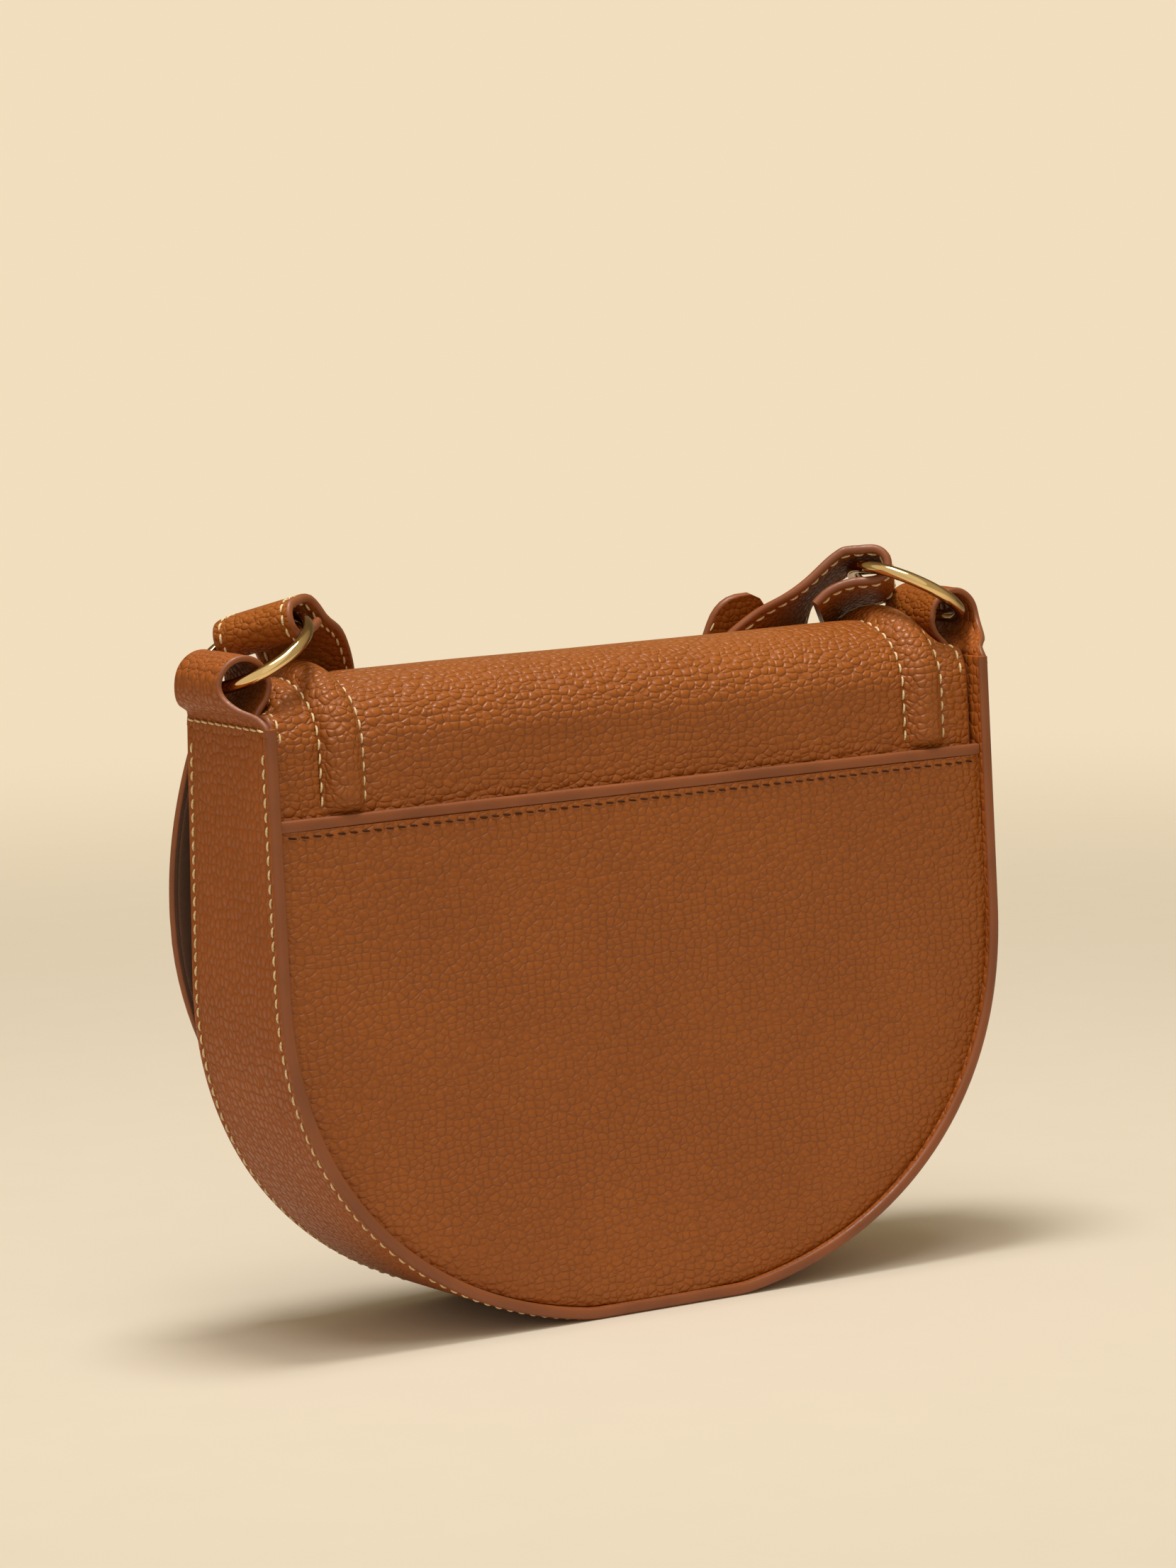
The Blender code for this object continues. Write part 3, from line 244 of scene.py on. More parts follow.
def twill_group():
    """Diagonal twill: two crossed sets of fine ridges with uneven yarn."""
    group, given, results, where = new_group("twill_weave", {"Ridges per Metre": 1300.0}, ("Height", "Yarn"))
    heights = []
    for axis, share in (("DIAGONAL", 1.0), ("Z", 0.35)):
        wave = add_node(group, "ShaderNodeTexWave", {"wave_type": "BANDS", "bands_direction": axis},
                        {"Vector": where, "Scale": given[0], "Distortion": 0.6, "Detail": 1.0})
        heights.append(maths(group, "MULTIPLY", wave.outputs["Fac"], share))
    feed(group, results["Height"], maths(group, "ADD", heights[0], heights[1]))
    feed(group, results["Yarn"], noisy(group, where, 900.0, 2.0))
    return group


def smudge_group():
    """Slow and fine unevenness for painted edges, thread and polished metal."""
    group, given, results, where = new_group("handling_marks", {"Fine per Metre": 700.0}, ("Fine", "Slow"))
    feed(group, results["Fine"], noisy(group, where, given[0], 3.0))
    feed(group, results["Slow"], noisy(group, where, 45.0, 2.0))
    return group


def fade_group():
    """One near the origin, falling to nothing at the far distance."""
    group, given, results, where = new_group("distance_fade", {"Near": 0.5, "Far": 1.0}, ("Fade",))
    reach = vector_maths(group, "LENGTH", where).outputs["Value"]
    feed(group, results["Fade"], ramped(group, reach, given["Near"], given["Far"], 1.0, 0.0))
    return group


GROUPS = {}


def group_of(tree, maker, values=()):
    """The outputs of one of the shared groups, which is built the first time it is used."""
    if maker not in GROUPS:
        GROUPS[maker] = maker()
    return add_node(tree, "ShaderNodeGroup", {"node_tree": GROUPS[maker]}, values).outputs


def start_material(name):
    material = bpy.data.materials.new(name)
    material.use_nodes = True
    tree = material.node_tree
    return material, tree, tree.nodes["Principled BSDF"].inputs


def bumped(tree, sockets, height, strength, distance, values):
    """Feeds a shader's sockets with values and its normal with a bump."""
    bump = add_node(tree, "ShaderNodeBump", values={"Height": height, "Strength": strength, "Distance": distance})
    for key, value in {**values, "Normal": bump.outputs["Normal"]}.items():
        feed(tree, sockets[key], value)


def leather_material(name, colour, stretch, cells, relief, rough, gloss):
    """Pebbled leather: creases darkened with painted shade, cells that differ a little, and a soft waxy gloss."""
    material, tree, sockets = start_material(name)
    grain = group_of(tree, pebble_group, {"Stretch": stretch, "Cells per Metre": cells})
    base = blended(tree, "MIX", ramped(tree, grain["Tone"], 0, 1, 0.0, 0.30), colour, toned(colour, 1.22))
    # Painted shade: the creases between the pebbles are darkened in the colour itself.
    base = blended(tree, "MIX", ramped(tree, grain["Crease"], 0.1, 1, 0.0, 0.12), base, toned(colour, 0.52))
    base = blended(tree, "MULTIPLY", ramped(tree, grain["Swell"], 0.35, 0.7, 0.28, 0.0), base,
                   (0.72, 0.66, 0.60, 1))
    bumped(tree, sockets, grain["Height"], 0.7, relief,
           {"Base Color": base, "Specular IOR Level": gloss,
            "Roughness": ramped(tree, grain["Crease"], 0, 1, rough, rough + 0.22)})
    return material


def edge_material(name, colour):
    """Edge paint with slow darker patches."""
    material, tree, sockets = start_material(name)
    marks = group_of(tree, smudge_group, {"Fine per Metre": 900.0})
    share = ramped(tree, marks["Slow"], 0.35, 0.70, 0.0, 0.7)
    bumped(tree, sockets, marks["Fine"], 0.35, 0.12 * MM,
           {"Base Color": blended(tree, "MIX", share, colour, toned(colour, 0.70)),
            "Roughness": ramped(tree, marks["Fine"], 0.3, 0.7, 0.38, 0.55)})
    return material


def twill_material(name, colour):
    """Matt lining cloth with a little sheen."""
    material, tree, sockets = start_material(name)
    weave = group_of(tree, twill_group)
    # Painted shade: the weave's low lines between the ridges are darkened in the colour.
    base = blended(tree, "MIX", ramped(tree, weave["Height"], 0.2, 1.1), toned(colour, 0.45), colour)
    base = blended(tree, "MULTIPLY", ramped(tree, weave["Yarn"], 0.3, 0.7, 0.4, 0.0), base, (0.7, 0.7, 0.7, 1))
    bumped(tree, sockets, weave["Height"], 0.6, 0.2 * MM,
           {"Base Color": base, "Roughness": 0.85, "Sheen Weight": 0.25})
    return material


def thread_material(name, colour):
    """Twisted thread."""
    material, tree, sockets = start_material(name)
    marks = group_of(tree, smudge_group, {"Fine per Metre": 3200.0})
    base = blended(tree, "MIX", ramped(tree, marks["Fine"], 0.35, 0.65), toned(colour, 0.55), colour)
    bumped(tree, sockets, marks["Fine"], 0.5, 0.1 * MM,
           {"Base Color": base, "Roughness": 0.6, "Specular IOR Level": 0.15})
    return material


def gold_material(name, colour):
    """Pale gold plating: polished, with faint handling marks and painted dark reflections where the wire turns
    away from view.
    """
    material, tree, sockets = start_material(name)
    marks = group_of(tree, smudge_group, {"Fine per Metre": 1500.0})
    worn = ramped(tree, marks["Slow"], 0.4, 0.7, 0.0, 0.6)
    base = blended(tree, "MIX", worn, colour, toned(colour, 0.86))
    # Painted reflection: the plating is darkened towards the rims that turn away from the camera, in place of dark
    # surroundings it would reflect.
    facing = add_node(tree, "ShaderNodeLayerWeight", values={"Blend": 0.5}).outputs["Facing"]
    base = blended(tree, "MIX", ramped(tree, facing, 0.15, 0.60, 0.0, 0.95), base, toned(colour, 0.30, 0.22, 0.16))
    bumped(tree, sockets, marks["Fine"], 0.06, 0.05 * MM,
           {"Base Color": base, "Metallic": 1.0, "Roughness": ramped(tree, marks["Fine"], 0.3, 0.75, 0.06, 0.14)})
    return material


# A finish's material name, its maker, its colour in the panel and, for leather, the grain's stretch,
# cells per metre and relief, the roughness and the gloss.
FINISHES = {
    "tan": ("tan_leather", leather_material, "leather", (0.74, 1, 1), 540, 0.95 * MM, 0.35, 0.36),
    "gusset": ("gusset_leather", leather_material, "gusset", (1.0, 0.8, 0.62), 600, 0.8 * MM, 0.40, 0.26),
    "strap": ("strap_leather", leather_material, "leather", (1, 1, 1), 560, 0.8 * MM, 0.44, 0.16),
    # The underside finish has its own grain and gloss; its colour is painted shade, the strap leather a little
    # darker.
    "under": ("strap_underside", leather_material, "underside", (1, 1, 1), 560, 0.7 * MM, 0.5, 0.12),
    "edge": ("painted_edge", edge_material, "edge"),
    "twill": ("lining_twill", twill_material, "lining"),
    "thread": ("gold_thread", thread_material, "thread"),
    "brown_thread": ("brown_thread", thread_material, "brown_thread"),
    "gold": ("pale_gold", gold_material, "metal"),
}
MATERIALS = {}


def finish_of(key):
    """A material by its short name, made from the panel's colours the first time it is used."""
    if key not in MATERIALS:
        name, maker, colour, *look = FINISHES[key]
        MATERIALS[key] = maker(name, tuple(getattr(bpy.context.scene.bag_colours, colour)), *look)
    return MATERIALS[key]


# Mesh helpers

def lerp(a, b, share):
    return a + (b - a) * share


def smoothstep(low, high, value):
    share = min(max((value - low) / (high - low), 0), 1)
    return share * share * (3 - 2 * share)


def add_object(name, data):
    item = bpy.data.objects.new(name, data)
    bpy.context.scene.collection.objects.link(item)
    return item


def mesh_object(name, mesh_data, finishes, sharp=50):
    """A smooth object from a bmesh, which is freed, with a slot for each finish."""
    bmesh.ops.recalc_face_normals(mesh_data, faces=mesh_data.faces)
    mesh = bpy.data.meshes.new(name)
    mesh_data.to_mesh(mesh)
    mesh_data.free()
    mesh.shade_smooth()
    mesh.set_sharp_from_angle(angle=radians(sharp))
    for finish in finishes:
        mesh.materials.append(finish_of(finish))
    return add_object(name, mesh)


def loft(rings, slots=None, closed=False, cap=0, mesh_data=None):
    """Faces through a row of rings. Slots give the material of each side of a ring."""
    mesh_data = mesh_data or bmesh.new()
    rows = [[mesh_data.verts.new(p) for p in ring] for ring in rings]
    count = len(rows[0])
    pairs = list(zip(rows, rows[1:]))
    if closed:
        pairs.append((rows[-1], rows[0]))
    for first, second in pairs:
        for i in range(count):
            j = (i + 1) % count
            face = mesh_data.faces.new((first[i], first[j], second[j], second[i]))
            face.material_index = slots[i] if slots else 0
    if not closed:
        for row in (rows[0][::-1], rows[-1]):
            mesh_data.faces.new(row).material_index = cap
    return mesh_data


def half_depth(z):
    return DEPTH_BASE + (DEPTH_TOP - DEPTH_BASE) * z / RIM_HEIGHT


def body_curve(steps=64):
    """Points and inward directions along the body's U, from the -X top to the +X top."""
    right = []
    power = 2 / BASE_ROUNDNESS
    for i in range(steps + 1):
        turn = pi / 2 * i / steps
        x = HALF_WIDTH * sin(turn) ** power
        z = BASE_CENTRE - BASE_DROP * cos(turn) ** power
        slope_x = (x / HALF_WIDTH) ** (BASE_ROUNDNESS - 1) / HALF_WIDTH
        slope_z = ((BASE_CENTRE - z) / BASE_DROP) ** (BASE_ROUNDNESS - 1) / BASE_DROP
        size = hypot(slope_x, slope_z)
        right.append((x, z, -slope_x / size, slope_z / size))
    for i in range(1, 13):
        right.append((HALF_WIDTH, lerp(BASE_CENTRE, RIM_HEIGHT, i / 12), -1, 0))
    left = [(-x, z, -across, up) for x, z, across, up in right[:0:-1]]
    return left + right


def inset_point(station, inset):
    x, z, across, up = station
    return x + across * inset, max(z + up * inset, inset, 0)


def soft_wave(x, z, size, reach):
    """Slow unevenness of a hide, the same in every run."""
    return noise.noise(Vector((x / size, 3.1, z / size))) * reach


# Gusset, panels and pocket

# The rim's section in mm, as inset from the outline and depth from the face.
RIM_PROFILE = [(3.2, 4.7), (3.2, 0.8), (3.0, 0.3), (2.6, 0.05), (1.8, -0.1), (0.9, 0.05), (0.35, 0.35),
               (0.05, 1.0), (0.0, 2.0), (0.3, 2.9), (0.1, 3.8), (0.0, 6.0), (-0.15, 11.0)]
# How deep the lips and the lining lie behind the faces, in mm.
FRONT_LIP = 4.7
BACK_LIP = 8.5
LINING_FRONT = 5.5
LINING_BACK = 9.4
LINING_TOP = 151 * MM


def band_section(station, corners, top):
    """Points round the band's section, from (inset, depth, side) with lengths in mm."""
    ring = []
    for inset, depth, side in corners:
        x, z = inset_point(station, inset * MM)
        z = min(z, top)
        ring.append(Vector((x, side * (half_depth(z) - depth * MM), z)))
    return ring


def crown_rise(x, z, border, crown):
    """How far a panel stands up at a point, by its distance in from the border."""
    return crown * (1 - exp(-border / (7 * MM))) + soft_wave(x, z, 45 * MM, 0.35 * MM)


def crowned_panel(name, side, set_in, thick, top, crown, finishes, edge_slot):
    """A D-shaped panel that rises softly from its sewn border."""
    border_room = RIM_LIP + SEAT / 2
    columns = [-1, -0.985, -0.96, -0.92] + [lerp(-0.86, 0.86, i / 26) for i in range(27)] + [0.92, 0.96, 0.985, 1]
    rows = [inset_point(station, border_room) for station in body_curve()]
    rows = [(x, z) for x, z in rows if x > 0.5 * MM and z < top - 0.2 * MM]
    rings = []
    for half, z in rows + [(HALF_WIDTH - border_room, top)]:
        face = half_depth(z) - set_in
        ring = []
        for c in columns:
            border = half * (1 - abs(c))
            rise = 0 if border < 0.5 * MM else crown_rise(half * c, z, border, crown)
            ring.append(Vector((half * c, side * (face + rise), z)))
        ring += [Vector((half * c, side * (face - thick), z)) for c in columns[::-4]]
        rings.append(ring)
    return mesh_object(name, loft(rings, cap=edge_slot), finishes)


def build_gusset():
    front = [(inset, depth, -1) for inset, depth in RIM_PROFILE]
    back = [(inset, depth, 1) for inset, depth in RIM_PROFILE[:0:-1]] + [(RIM_PROFILE[0][0], BACK_LIP, 1)]
    wall = GUSSET_WALL / MM
    corners = front + back + [(wall, BACK_LIP, 1), (wall, FRONT_LIP, -1)]
    rim = range(1, 7)
    last = len(front + back) - 1
    slots = []
    for i in range(len(corners)):
        slots.append(EDGE if i in rim or last - 1 - i in rim else (UNDERSIDE if i >= last else LEATHER))
    rings = [band_section(station, corners, RIM_HEIGHT) for station in body_curve()]
    gusset = mesh_object("gusset_sewn", loft(rings, slots), ["gusset", "edge", "twill"])
    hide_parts("gusset")
    outer = (GUSSET_WALL + SEAT / 2) / MM
    inner = outer + LINING / MM
    corners = ((outer, LINING_FRONT, -1), (outer, LINING_BACK, 1),
               (inner, LINING_BACK, 1), (inner, LINING_FRONT, -1))
    rings = [band_section(station, corners, LINING_TOP) for station in body_curve()]
    lining = mesh_object("gusset_lining_cloth", loft(rings), ["twill"])
    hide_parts("gusset_lining")
    for piece, slot in ((gusset, "gusset_leather"), (lining, "lining_twill")):
        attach(piece, "bag")


def build_panels():
    pocket_top = POCKET_TOP - BINDING_HEIGHT
    back_set_in = ROOT_SET_IN + FLAP_LEATHER + SEAT
    # Name, side, set-in, thickness, top, crown, finishes, the ends' finish, replaced node and slot.
    panels = [
        ("pocket_leather", 1, POCKET_SET_IN, POCKET_THICK, pocket_top, POCKET_CROWN, ["tan", "edge"], LEATHER,
         "back_pocket_panel", "leather"),
        ("back_leather", 1, back_set_in, BACK_THICK, BACK_TOP, 0, ["tan", "edge"], EDGE,
         "back_panel", "leather"),
        ("back_lining_cloth", 1, BACK_LIP * MM + SEAT, LINING, BACK_TOP, 0, ["twill"], LEATHER,
         "back_lining", "lining_twill"),
        ("front_leather", -1, FRONT_SET_IN, FRONT_THICK, FRONT_TOP, 0, ["tan", "edge"], EDGE,
         "front_panel", "leather"),
        ("front_lining_cloth", -1, FRONT_LIP * MM + SEAT, LINING, FRONT_TOP, 0, ["twill"], LEATHER,
         "front_lining", "lining_twill"),
    ]
    for name, side, set_in, thick, top, crown, finishes, edge_slot, node, slot in panels:
        piece = crowned_panel(name, side, set_in, thick, top, crown, finishes, edge_slot)
        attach(piece, "bag")
        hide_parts(node)


def build_pocket_edge():
    """The pocket's rolled top edge, a half-round band sewn over the panel's top."""
    rings = []
    half = HALF_WIDTH - RIM_LIP - SEAT
    low, high = POCKET_TOP - BINDING_HEIGHT, POCKET_TOP
    for i in range(61):
        x = lerp(-half, half, i / 60)
        ring = []
        for step in range(13):
            turn = lerp(-pi / 2, pi / 2, step / 12)
            z = lerp(low, high, 0.5) + (high - low) / 2 * sin(turn)
            proud = 0.85 * MM * max(cos(turn), 0) ** 0.5 + soft_wave(x, 0, 14 * MM, 0.12 * MM)
            ring.append(Vector((x, half_depth(z) - POCKET_SET_IN + proud, z)))
        for z in (high - 0.1 * MM, low + 0.1 * MM):
            ring.append(Vector((x, half_depth(z) - POCKET_SET_IN - POCKET_THICK, z)))
        rings.append(ring)
    piece = mesh_object("pocket_rolled_edge", loft(rings), ["edge"])
    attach(piece, "bag")
    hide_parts("pocket_edge_binding")


# Flap

DOME_BACK = half_depth(DOME_Z) - ROOT_SET_IN - DOME_Y
DOME_FRONT = half_depth(DOME_Z) + STAND_OFF + FLAP_TOTAL + DOME_Y


def bulge(z):
    """How far the flap's middle stands off the front panel."""
    share = (z - BULGE_BOTTOM) / (DOME_Z - BULGE_BOTTOM)
    return BULGE * sin(pi * min(max(share, 0), 1)) ** 2


def flap_point(place, layer):
    """(y, z) of the flap's side profile, layer above the lining's inner face.

    A place is a stretch, back, dome or front, with a height, or with a turn on the dome.
    """
    stretch, value = place
    under = FLAP_TOTAL - layer
    if stretch == "back":
        return half_depth(value) - ROOT_SET_IN - under, value
    if stretch == "front":
        return -(half_depth(value) + STAND_OFF + bulge(value) + layer), value
    reach = DOME_BACK if value < pi / 2 else DOME_FRONT
    return DOME_Y + (reach - under) * cos(value), DOME_Z + (DOME_RISE - under) * sin(value)


def channel_raise(x, place):
    """How far the padded channels stand up at x. They sink behind the pocket's edge."""
    share = min(abs(x - middle) for middle in CHANNEL_MIDDLES) / CHANNEL_HALF
    if share >= 1:
        raised = -SEAM_DIP * exp(-((share - 1) * CHANNEL_HALF / SEAM_DIP_WIDTH) ** 2)
    else:
        height = bpy.context.scene.bag_sizes.channel_height
        raised = height * cos(share * pi / 2) ** 0.7 - SEAM_DIP * share ** 8
    if place[0] == "back":
        raised *= smoothstep(POCKET_TOP - 0.2 * MM, POCKET_TOP + 3.5 * MM, place[1])
    return raised


def end_sink(x, place):
    """How far the dome's ends are pressed down to pass under the ring loops."""
    if place[0] != "dome":
        return 0
    over = smoothstep(radians(30), radians(62), place[1]) * (1 - smoothstep(radians(122), radians(158), place[1]))
    return END_SINK * over * smoothstep(END_SINK_START, ROOT_HALF_WIDTH, abs(x))


def surface(x, place, lift=0):
    """A point of the flap's outer face and the way out of it."""
    low, high = flap_point(place, 0), flap_point(place, FLAP_TOTAL)
    out = Vector((0, high[0] - low[0], high[1] - low[1])).normalized()
    y, z = flap_point(place, FLAP_TOTAL + lift - end_sink(x, place))
    return Vector((x, y, z)), out


def flap_half_width(place):
    stretch, value = place
    if stretch == "back":
        return ROOT_HALF_WIDTH
    if stretch == "dome":
        return lerp(ROOT_HALF_WIDTH, flap_half_width(("front", DOME_Z)), smoothstep(pi / 2, pi, value))
    if value >= FLAP_WIDEST:
        share = min((value - FLAP_WIDEST) / (FLAP_NARROW - FLAP_WIDEST), 1)
        return DOME_HALF_WIDTH + (FLAP_HALF_WIDTH - DOME_HALF_WIDTH) * (1 - share ** FLAP_SHOULDER)
    drop = (FLAP_WIDEST - value) / (FLAP_WIDEST - FLAP_BOTTOM)
    return FLAP_HALF_WIDTH * max(1 - drop ** FLAP_ROUNDNESS, 0) ** (1 / FLAP_ROUNDNESS)


def flap_places(first_turn=None):
    """The flap's rows from its root to its bottom edge, or from a turn on the dome."""
    places = []
    if first_turn is None:
        places += [("back", lerp(ROOT_BOTTOM, POCKET_TOP, i / 3)) for i in range(4)]
        places += [("back", lerp(POCKET_TOP, DOME_Z, i / 10)) for i in range(1, 10)]
        first_turn = 0
    places += [("dome", lerp(first_turn, pi, i / 44)) for i in range(45)]
    places += [("front", lerp(DOME_Z, FLAP_WIDEST, i / 18)) for i in range(1, 19)]
    for i in range(1, 33):
        turn = pi / 2 * i / 32.5
        places.append(("front", FLAP_WIDEST - (FLAP_WIDEST - FLAP_BOTTOM) * sin(turn) ** (2 / FLAP_ROUNDNESS)))
    return places


def flap_columns():
    """Places across half of the flap in metres, close together over the channels."""
    right = [lerp(0, 84, i / 14) for i in range(15)]
    right += [lerp(85.5, 102, i / 20) for i in range(21)]
    right += [103.2, 104.4, 105.6, 106.8, 108, 109]
    return [v * MM for v in right]


def flap_row(place, inner, outer, width_less, raised):
    """A section of a flap layer, whose channels stand up where it is raised, and its slots."""
    half = flap_half_width(place) - width_less
    fixed = flap_columns()
    scale = min(1, (half - 1.0 * MM) / fixed[-1])
    right = [x * scale for x in fixed] + [half - EDGE_ROUND]
    across = [-x for x in right[:0:-1]] + right
    middle, radius = (inner + outer) / 2, (outer - inner) / 2
    ring = []

    def put(x, layer):
        y, z = flap_point(place, layer - end_sink(x, place))
        ring.append(Vector((x, y, z)))

    def put_edge(side):
        for i in range(1, 6):
            turn = side * pi / 2 - pi * i / 6
            put(side * (half - EDGE_ROUND) + EDGE_ROUND * cos(turn), middle + radius * sin(turn))

    for x in across:
        wave = soft_wave(x, place[1] if place[0] != "dome" else place[1] * 0.02, 50 * MM, 0.3 * MM)
        put(x, outer + (channel_raise(x, place) + wave if raised else 0))
    put_edge(1)
    for x in across[::-3]:
        put(x, inner)
    put_edge(-1)
    top, bottom = len(across) - 1, len(across[::-3]) - 1
    slots = [LEATHER] * top + [EDGE] * 6 + [UNDERSIDE] * bottom + [EDGE] * 6
    return ring, slots


def flap_solid(name, places, inner, outer, width_less, finishes, raised):
    rings, slots = [], None
    for place in places:
        if flap_half_width(place) - width_less >= SHORTEST_ROW:
            ring, slots = flap_row(place, inner, outer, width_less, raised)
            rings.append(ring)
    return mesh_object(name, loft(rings, slots, cap=EDGE if raised else LEATHER), finishes)


def build_flap():
    leather_inner = FLAP_LINING + SEAT
    leather = flap_solid("flap_hide", flap_places(), leather_inner, FLAP_TOTAL, 0, ["tan", "edge", "twill"], True)
    lining = flap_solid("flap_lining_cloth", flap_places(radians(6)), 0, FLAP_LINING, FLAP_LINING_SET_IN,
                        ["twill"] * 3, False)
    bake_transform(leather)
    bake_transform(lining)
    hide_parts("flap_leather", "flap_root_leather")
    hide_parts("flap_lining", "flap_root_lining")


# Strips: loops, strap and keeper

def strip_ring(middle, across, face, low, high, thick, pinch):
    """A strip's section: softly domed faces, sewn-down borders and rolled edges."""
    radius = thick / 2
    shares = [0, 0.07, 0.13, 0.22, 0.35, 0.5, 0.65, 0.78, 0.87, 0.93, 1]
    ring = []
    flat_low, flat_high = low + radius * EDGE_SHARE, high - radius * EDGE_SHARE
    for side in (1, -1):
        for share in (shares if side == 1 else shares[::-1]):
            at = lerp(flat_low, flat_high, share)
            border = min(at - low, high - at)
            dip = pinch * exp(-((border - STITCH_INSET) / SEAM_WIDTH) ** 2)
            ring.append(middle + across * at + face * side * (radius - dip))
        for i in range(1, 5):
            turn = pi / 2 - pi * i / 5
            reach = radius * EDGE_SHARE * cos(turn)
            at = flat_high + reach if side == 1 else flat_low - reach
            ring.append(middle + across * at + face * side * radius * sin(turn))
    count = len(shares) - 1
    slots = [LEATHER] * count + [EDGE] * 5 + [UNDERSIDE] * count + [EDGE] * 5
    return ring, slots


def strip_stations(route):
    """Frames along a route of (point, across) knots, as (point, across, face)."""
    stations = []
    for i, (point, across) in enumerate(route):
        before, after = route[max(i - 1, 0)][0], route[min(i + 1, len(route) - 1)][0]
        along = (after - before).normalized()
        across = (across - along * across.dot(along)).normalized()
        stations.append((point, across, across.cross(along)))
    return stations


def strip_solid(name, stations, width, thick, finishes, pinch=STRAP_PINCH, closed=False):
    rings, slots = [], None
    for point, across, face in stations:
        ring, slots = strip_ring(point, across, face, -width / 2, width / 2, thick, pinch)
        rings.append(ring)
    return mesh_object(name, loft(rings, slots, closed=closed, cap=EDGE), finishes)


def smooth_route(knots, spacing):
    """A smooth curve through knots of (point, across), with the station number of each knot."""
    points = [Vector(point) for point, _ in knots]
    across = [Vector(direction) for _, direction in knots]
    spans = [(b - a).length for a, b in zip(points, points[1:])]
    slopes = [(b - a) / span for a, b, span in zip(points, points[1:], spans)]
    turns = [(b - a) / span for a, b, span in zip(across, across[1:], spans)]
    route, marks = [], []
    for i, span in enumerate(spans):
        steps = max(2, round(span / spacing))
        marks.append(len(route))
        for step in range(steps):
            t = step / steps
            route.append((hermite(points, slopes, spans, i, t), hermite(across, turns, spans, i, t)))
    marks.append(len(route))
    route.append((points[-1], across[-1]))
    return route, marks


def hermite(values, slopes, spans, i, t):
    """The value a share t along span i, with slopes at its ends averaged over the spans beside."""
    ends = []
    for j in (i, i + 1):
        if j == 0 or j == len(spans):
            ends.append(slopes[min(j, len(slopes) - 1)])
        else:
            before, after = spans[j - 1], spans[j]
            ends.append((slopes[j - 1] * after + slopes[j] * before) / (before + after))
    first, second = values[i], values[i + 1]
    return (first * (1 + 2 * t) * (1 - t) ** 2 + second * t * t * (3 - 2 * t)
            + (ends[0] * (t * (1 - t) ** 2) - ends[1] * (t * t * (1 - t))) * spans[i])


class RingPlace:
    """Where a ring lies: its lowest point in the loop, its lean, and its turn about +Z."""

    def __init__(self, side, low_point, lean, turn):
        lean, turn = radians(lean), radians(turn)
        self.outward = Vector((-side * cos(lean) * cos(turn), -cos(lean) * sin(turn), sin(lean)))
        self.across = Vector((-side * sin(turn), cos(turn), 0))
        self.centre = Vector(low_point) * MM + self.outward * RING_RADIUS
        self.axis = self.outward.cross(self.across).normalized()


LEFT_RING = RingPlace(1, (117.8, -3.2, 174.8), 30, 4)
RIGHT_RING = RingPlace(-1, (-117.8, -2.8, 174.8), 30, -4)
FOLD_FREE = 0.3 * MM
FOLD_PLAY = 0.9 * MM
FOLD_STRAIGHT = 6.3 * MM


class Fold:
    """The strap's fold round a ring's far side: the middle of its bend and the way it leaves."""

    def __init__(self, ring, swing, droop):
        swing, droop = radians(swing), radians(droop)
        radial = ring.outward * cos(swing) + ring.across * sin(swing)
        up = ring.axis if ring.axis.z > 0 else -ring.axis
        self.across = ring.across * cos(swing) - ring.outward * sin(swing)
        self.away = radial * cos(droop) - up * sin(droop)
        self.up = radial * sin(droop) + up * cos(droop)
        reach = sqrt(RING_RADIUS ** 2 - (STRAP_WIDTH / 2) ** 2) - FOLD_PLAY
        lift = (RING_RADIUS - reach) * sin(droop) / 2
        self.middle = ring.centre + radial * reach + self.up * lift
        self.half = WIRE_RADIUS + FOLD_FREE + lift + STRAP_THICK / 2

    def at(self, away, up):
        return self.middle + self.away * away + self.up * up, self.across

    def bend(self):
        turns = [radians(-90 - 20 * i) for i in range(10)]
        return [self.at(self.half * cos(turn), self.half * sin(turn)) for turn in turns]

    def turned_down(self, radius, degrees, run):
        knots = [self.at(FOLD_STRAIGHT * 0.5, self.half), self.at(FOLD_STRAIGHT, self.half)]
        for share in (0.5, 1):
            turn = radians(degrees) * share
            away = FOLD_STRAIGHT + radius * sin(turn)
            up = self.half - radius * (1 - cos(turn))
            knots.append(self.at(away, up))
        knots.append(self.at(away + run * cos(turn), up - run * sin(turn)))
        return knots

    def under(self, places):
        """Knots of the lower layer, from distance out and height in mm and roll in degrees."""
        knots = []
        for away, up, roll in places:
            turn = radians(roll)
            knots.append((self.at(away * MM, up * MM)[0], self.across * cos(turn) + self.up * sin(turn)))
        return knots


LEFT_FOLD = Fold(LEFT_RING, -33, 20)
RIGHT_FOLD = Fold(RIGHT_RING, -46, 25)
LEFT_END = Vector((27, -32.6, 42)) * MM
LEFT_ACROSS = Vector((-0.96, 0, 0.28))
RIGHT_END = Vector((-37.3, -33.1, 42)) * MM


def knot(x, y, z, across):
    """A place on a route, in mm, and the strap's direction across it."""
    return Vector((x, y, z)) * MM, Vector(across)


def shoulder(x, height):
    """A point out of the flap's bend line, height above the leather, in mm."""
    y, z = flap_point(("dome", HINGE_TURN), FLAP_TOTAL)
    out = Vector((0, cos(HINGE_TURN), sin(HINGE_TURN)))
    return Vector((x * MM, y, z)) + out * height * MM


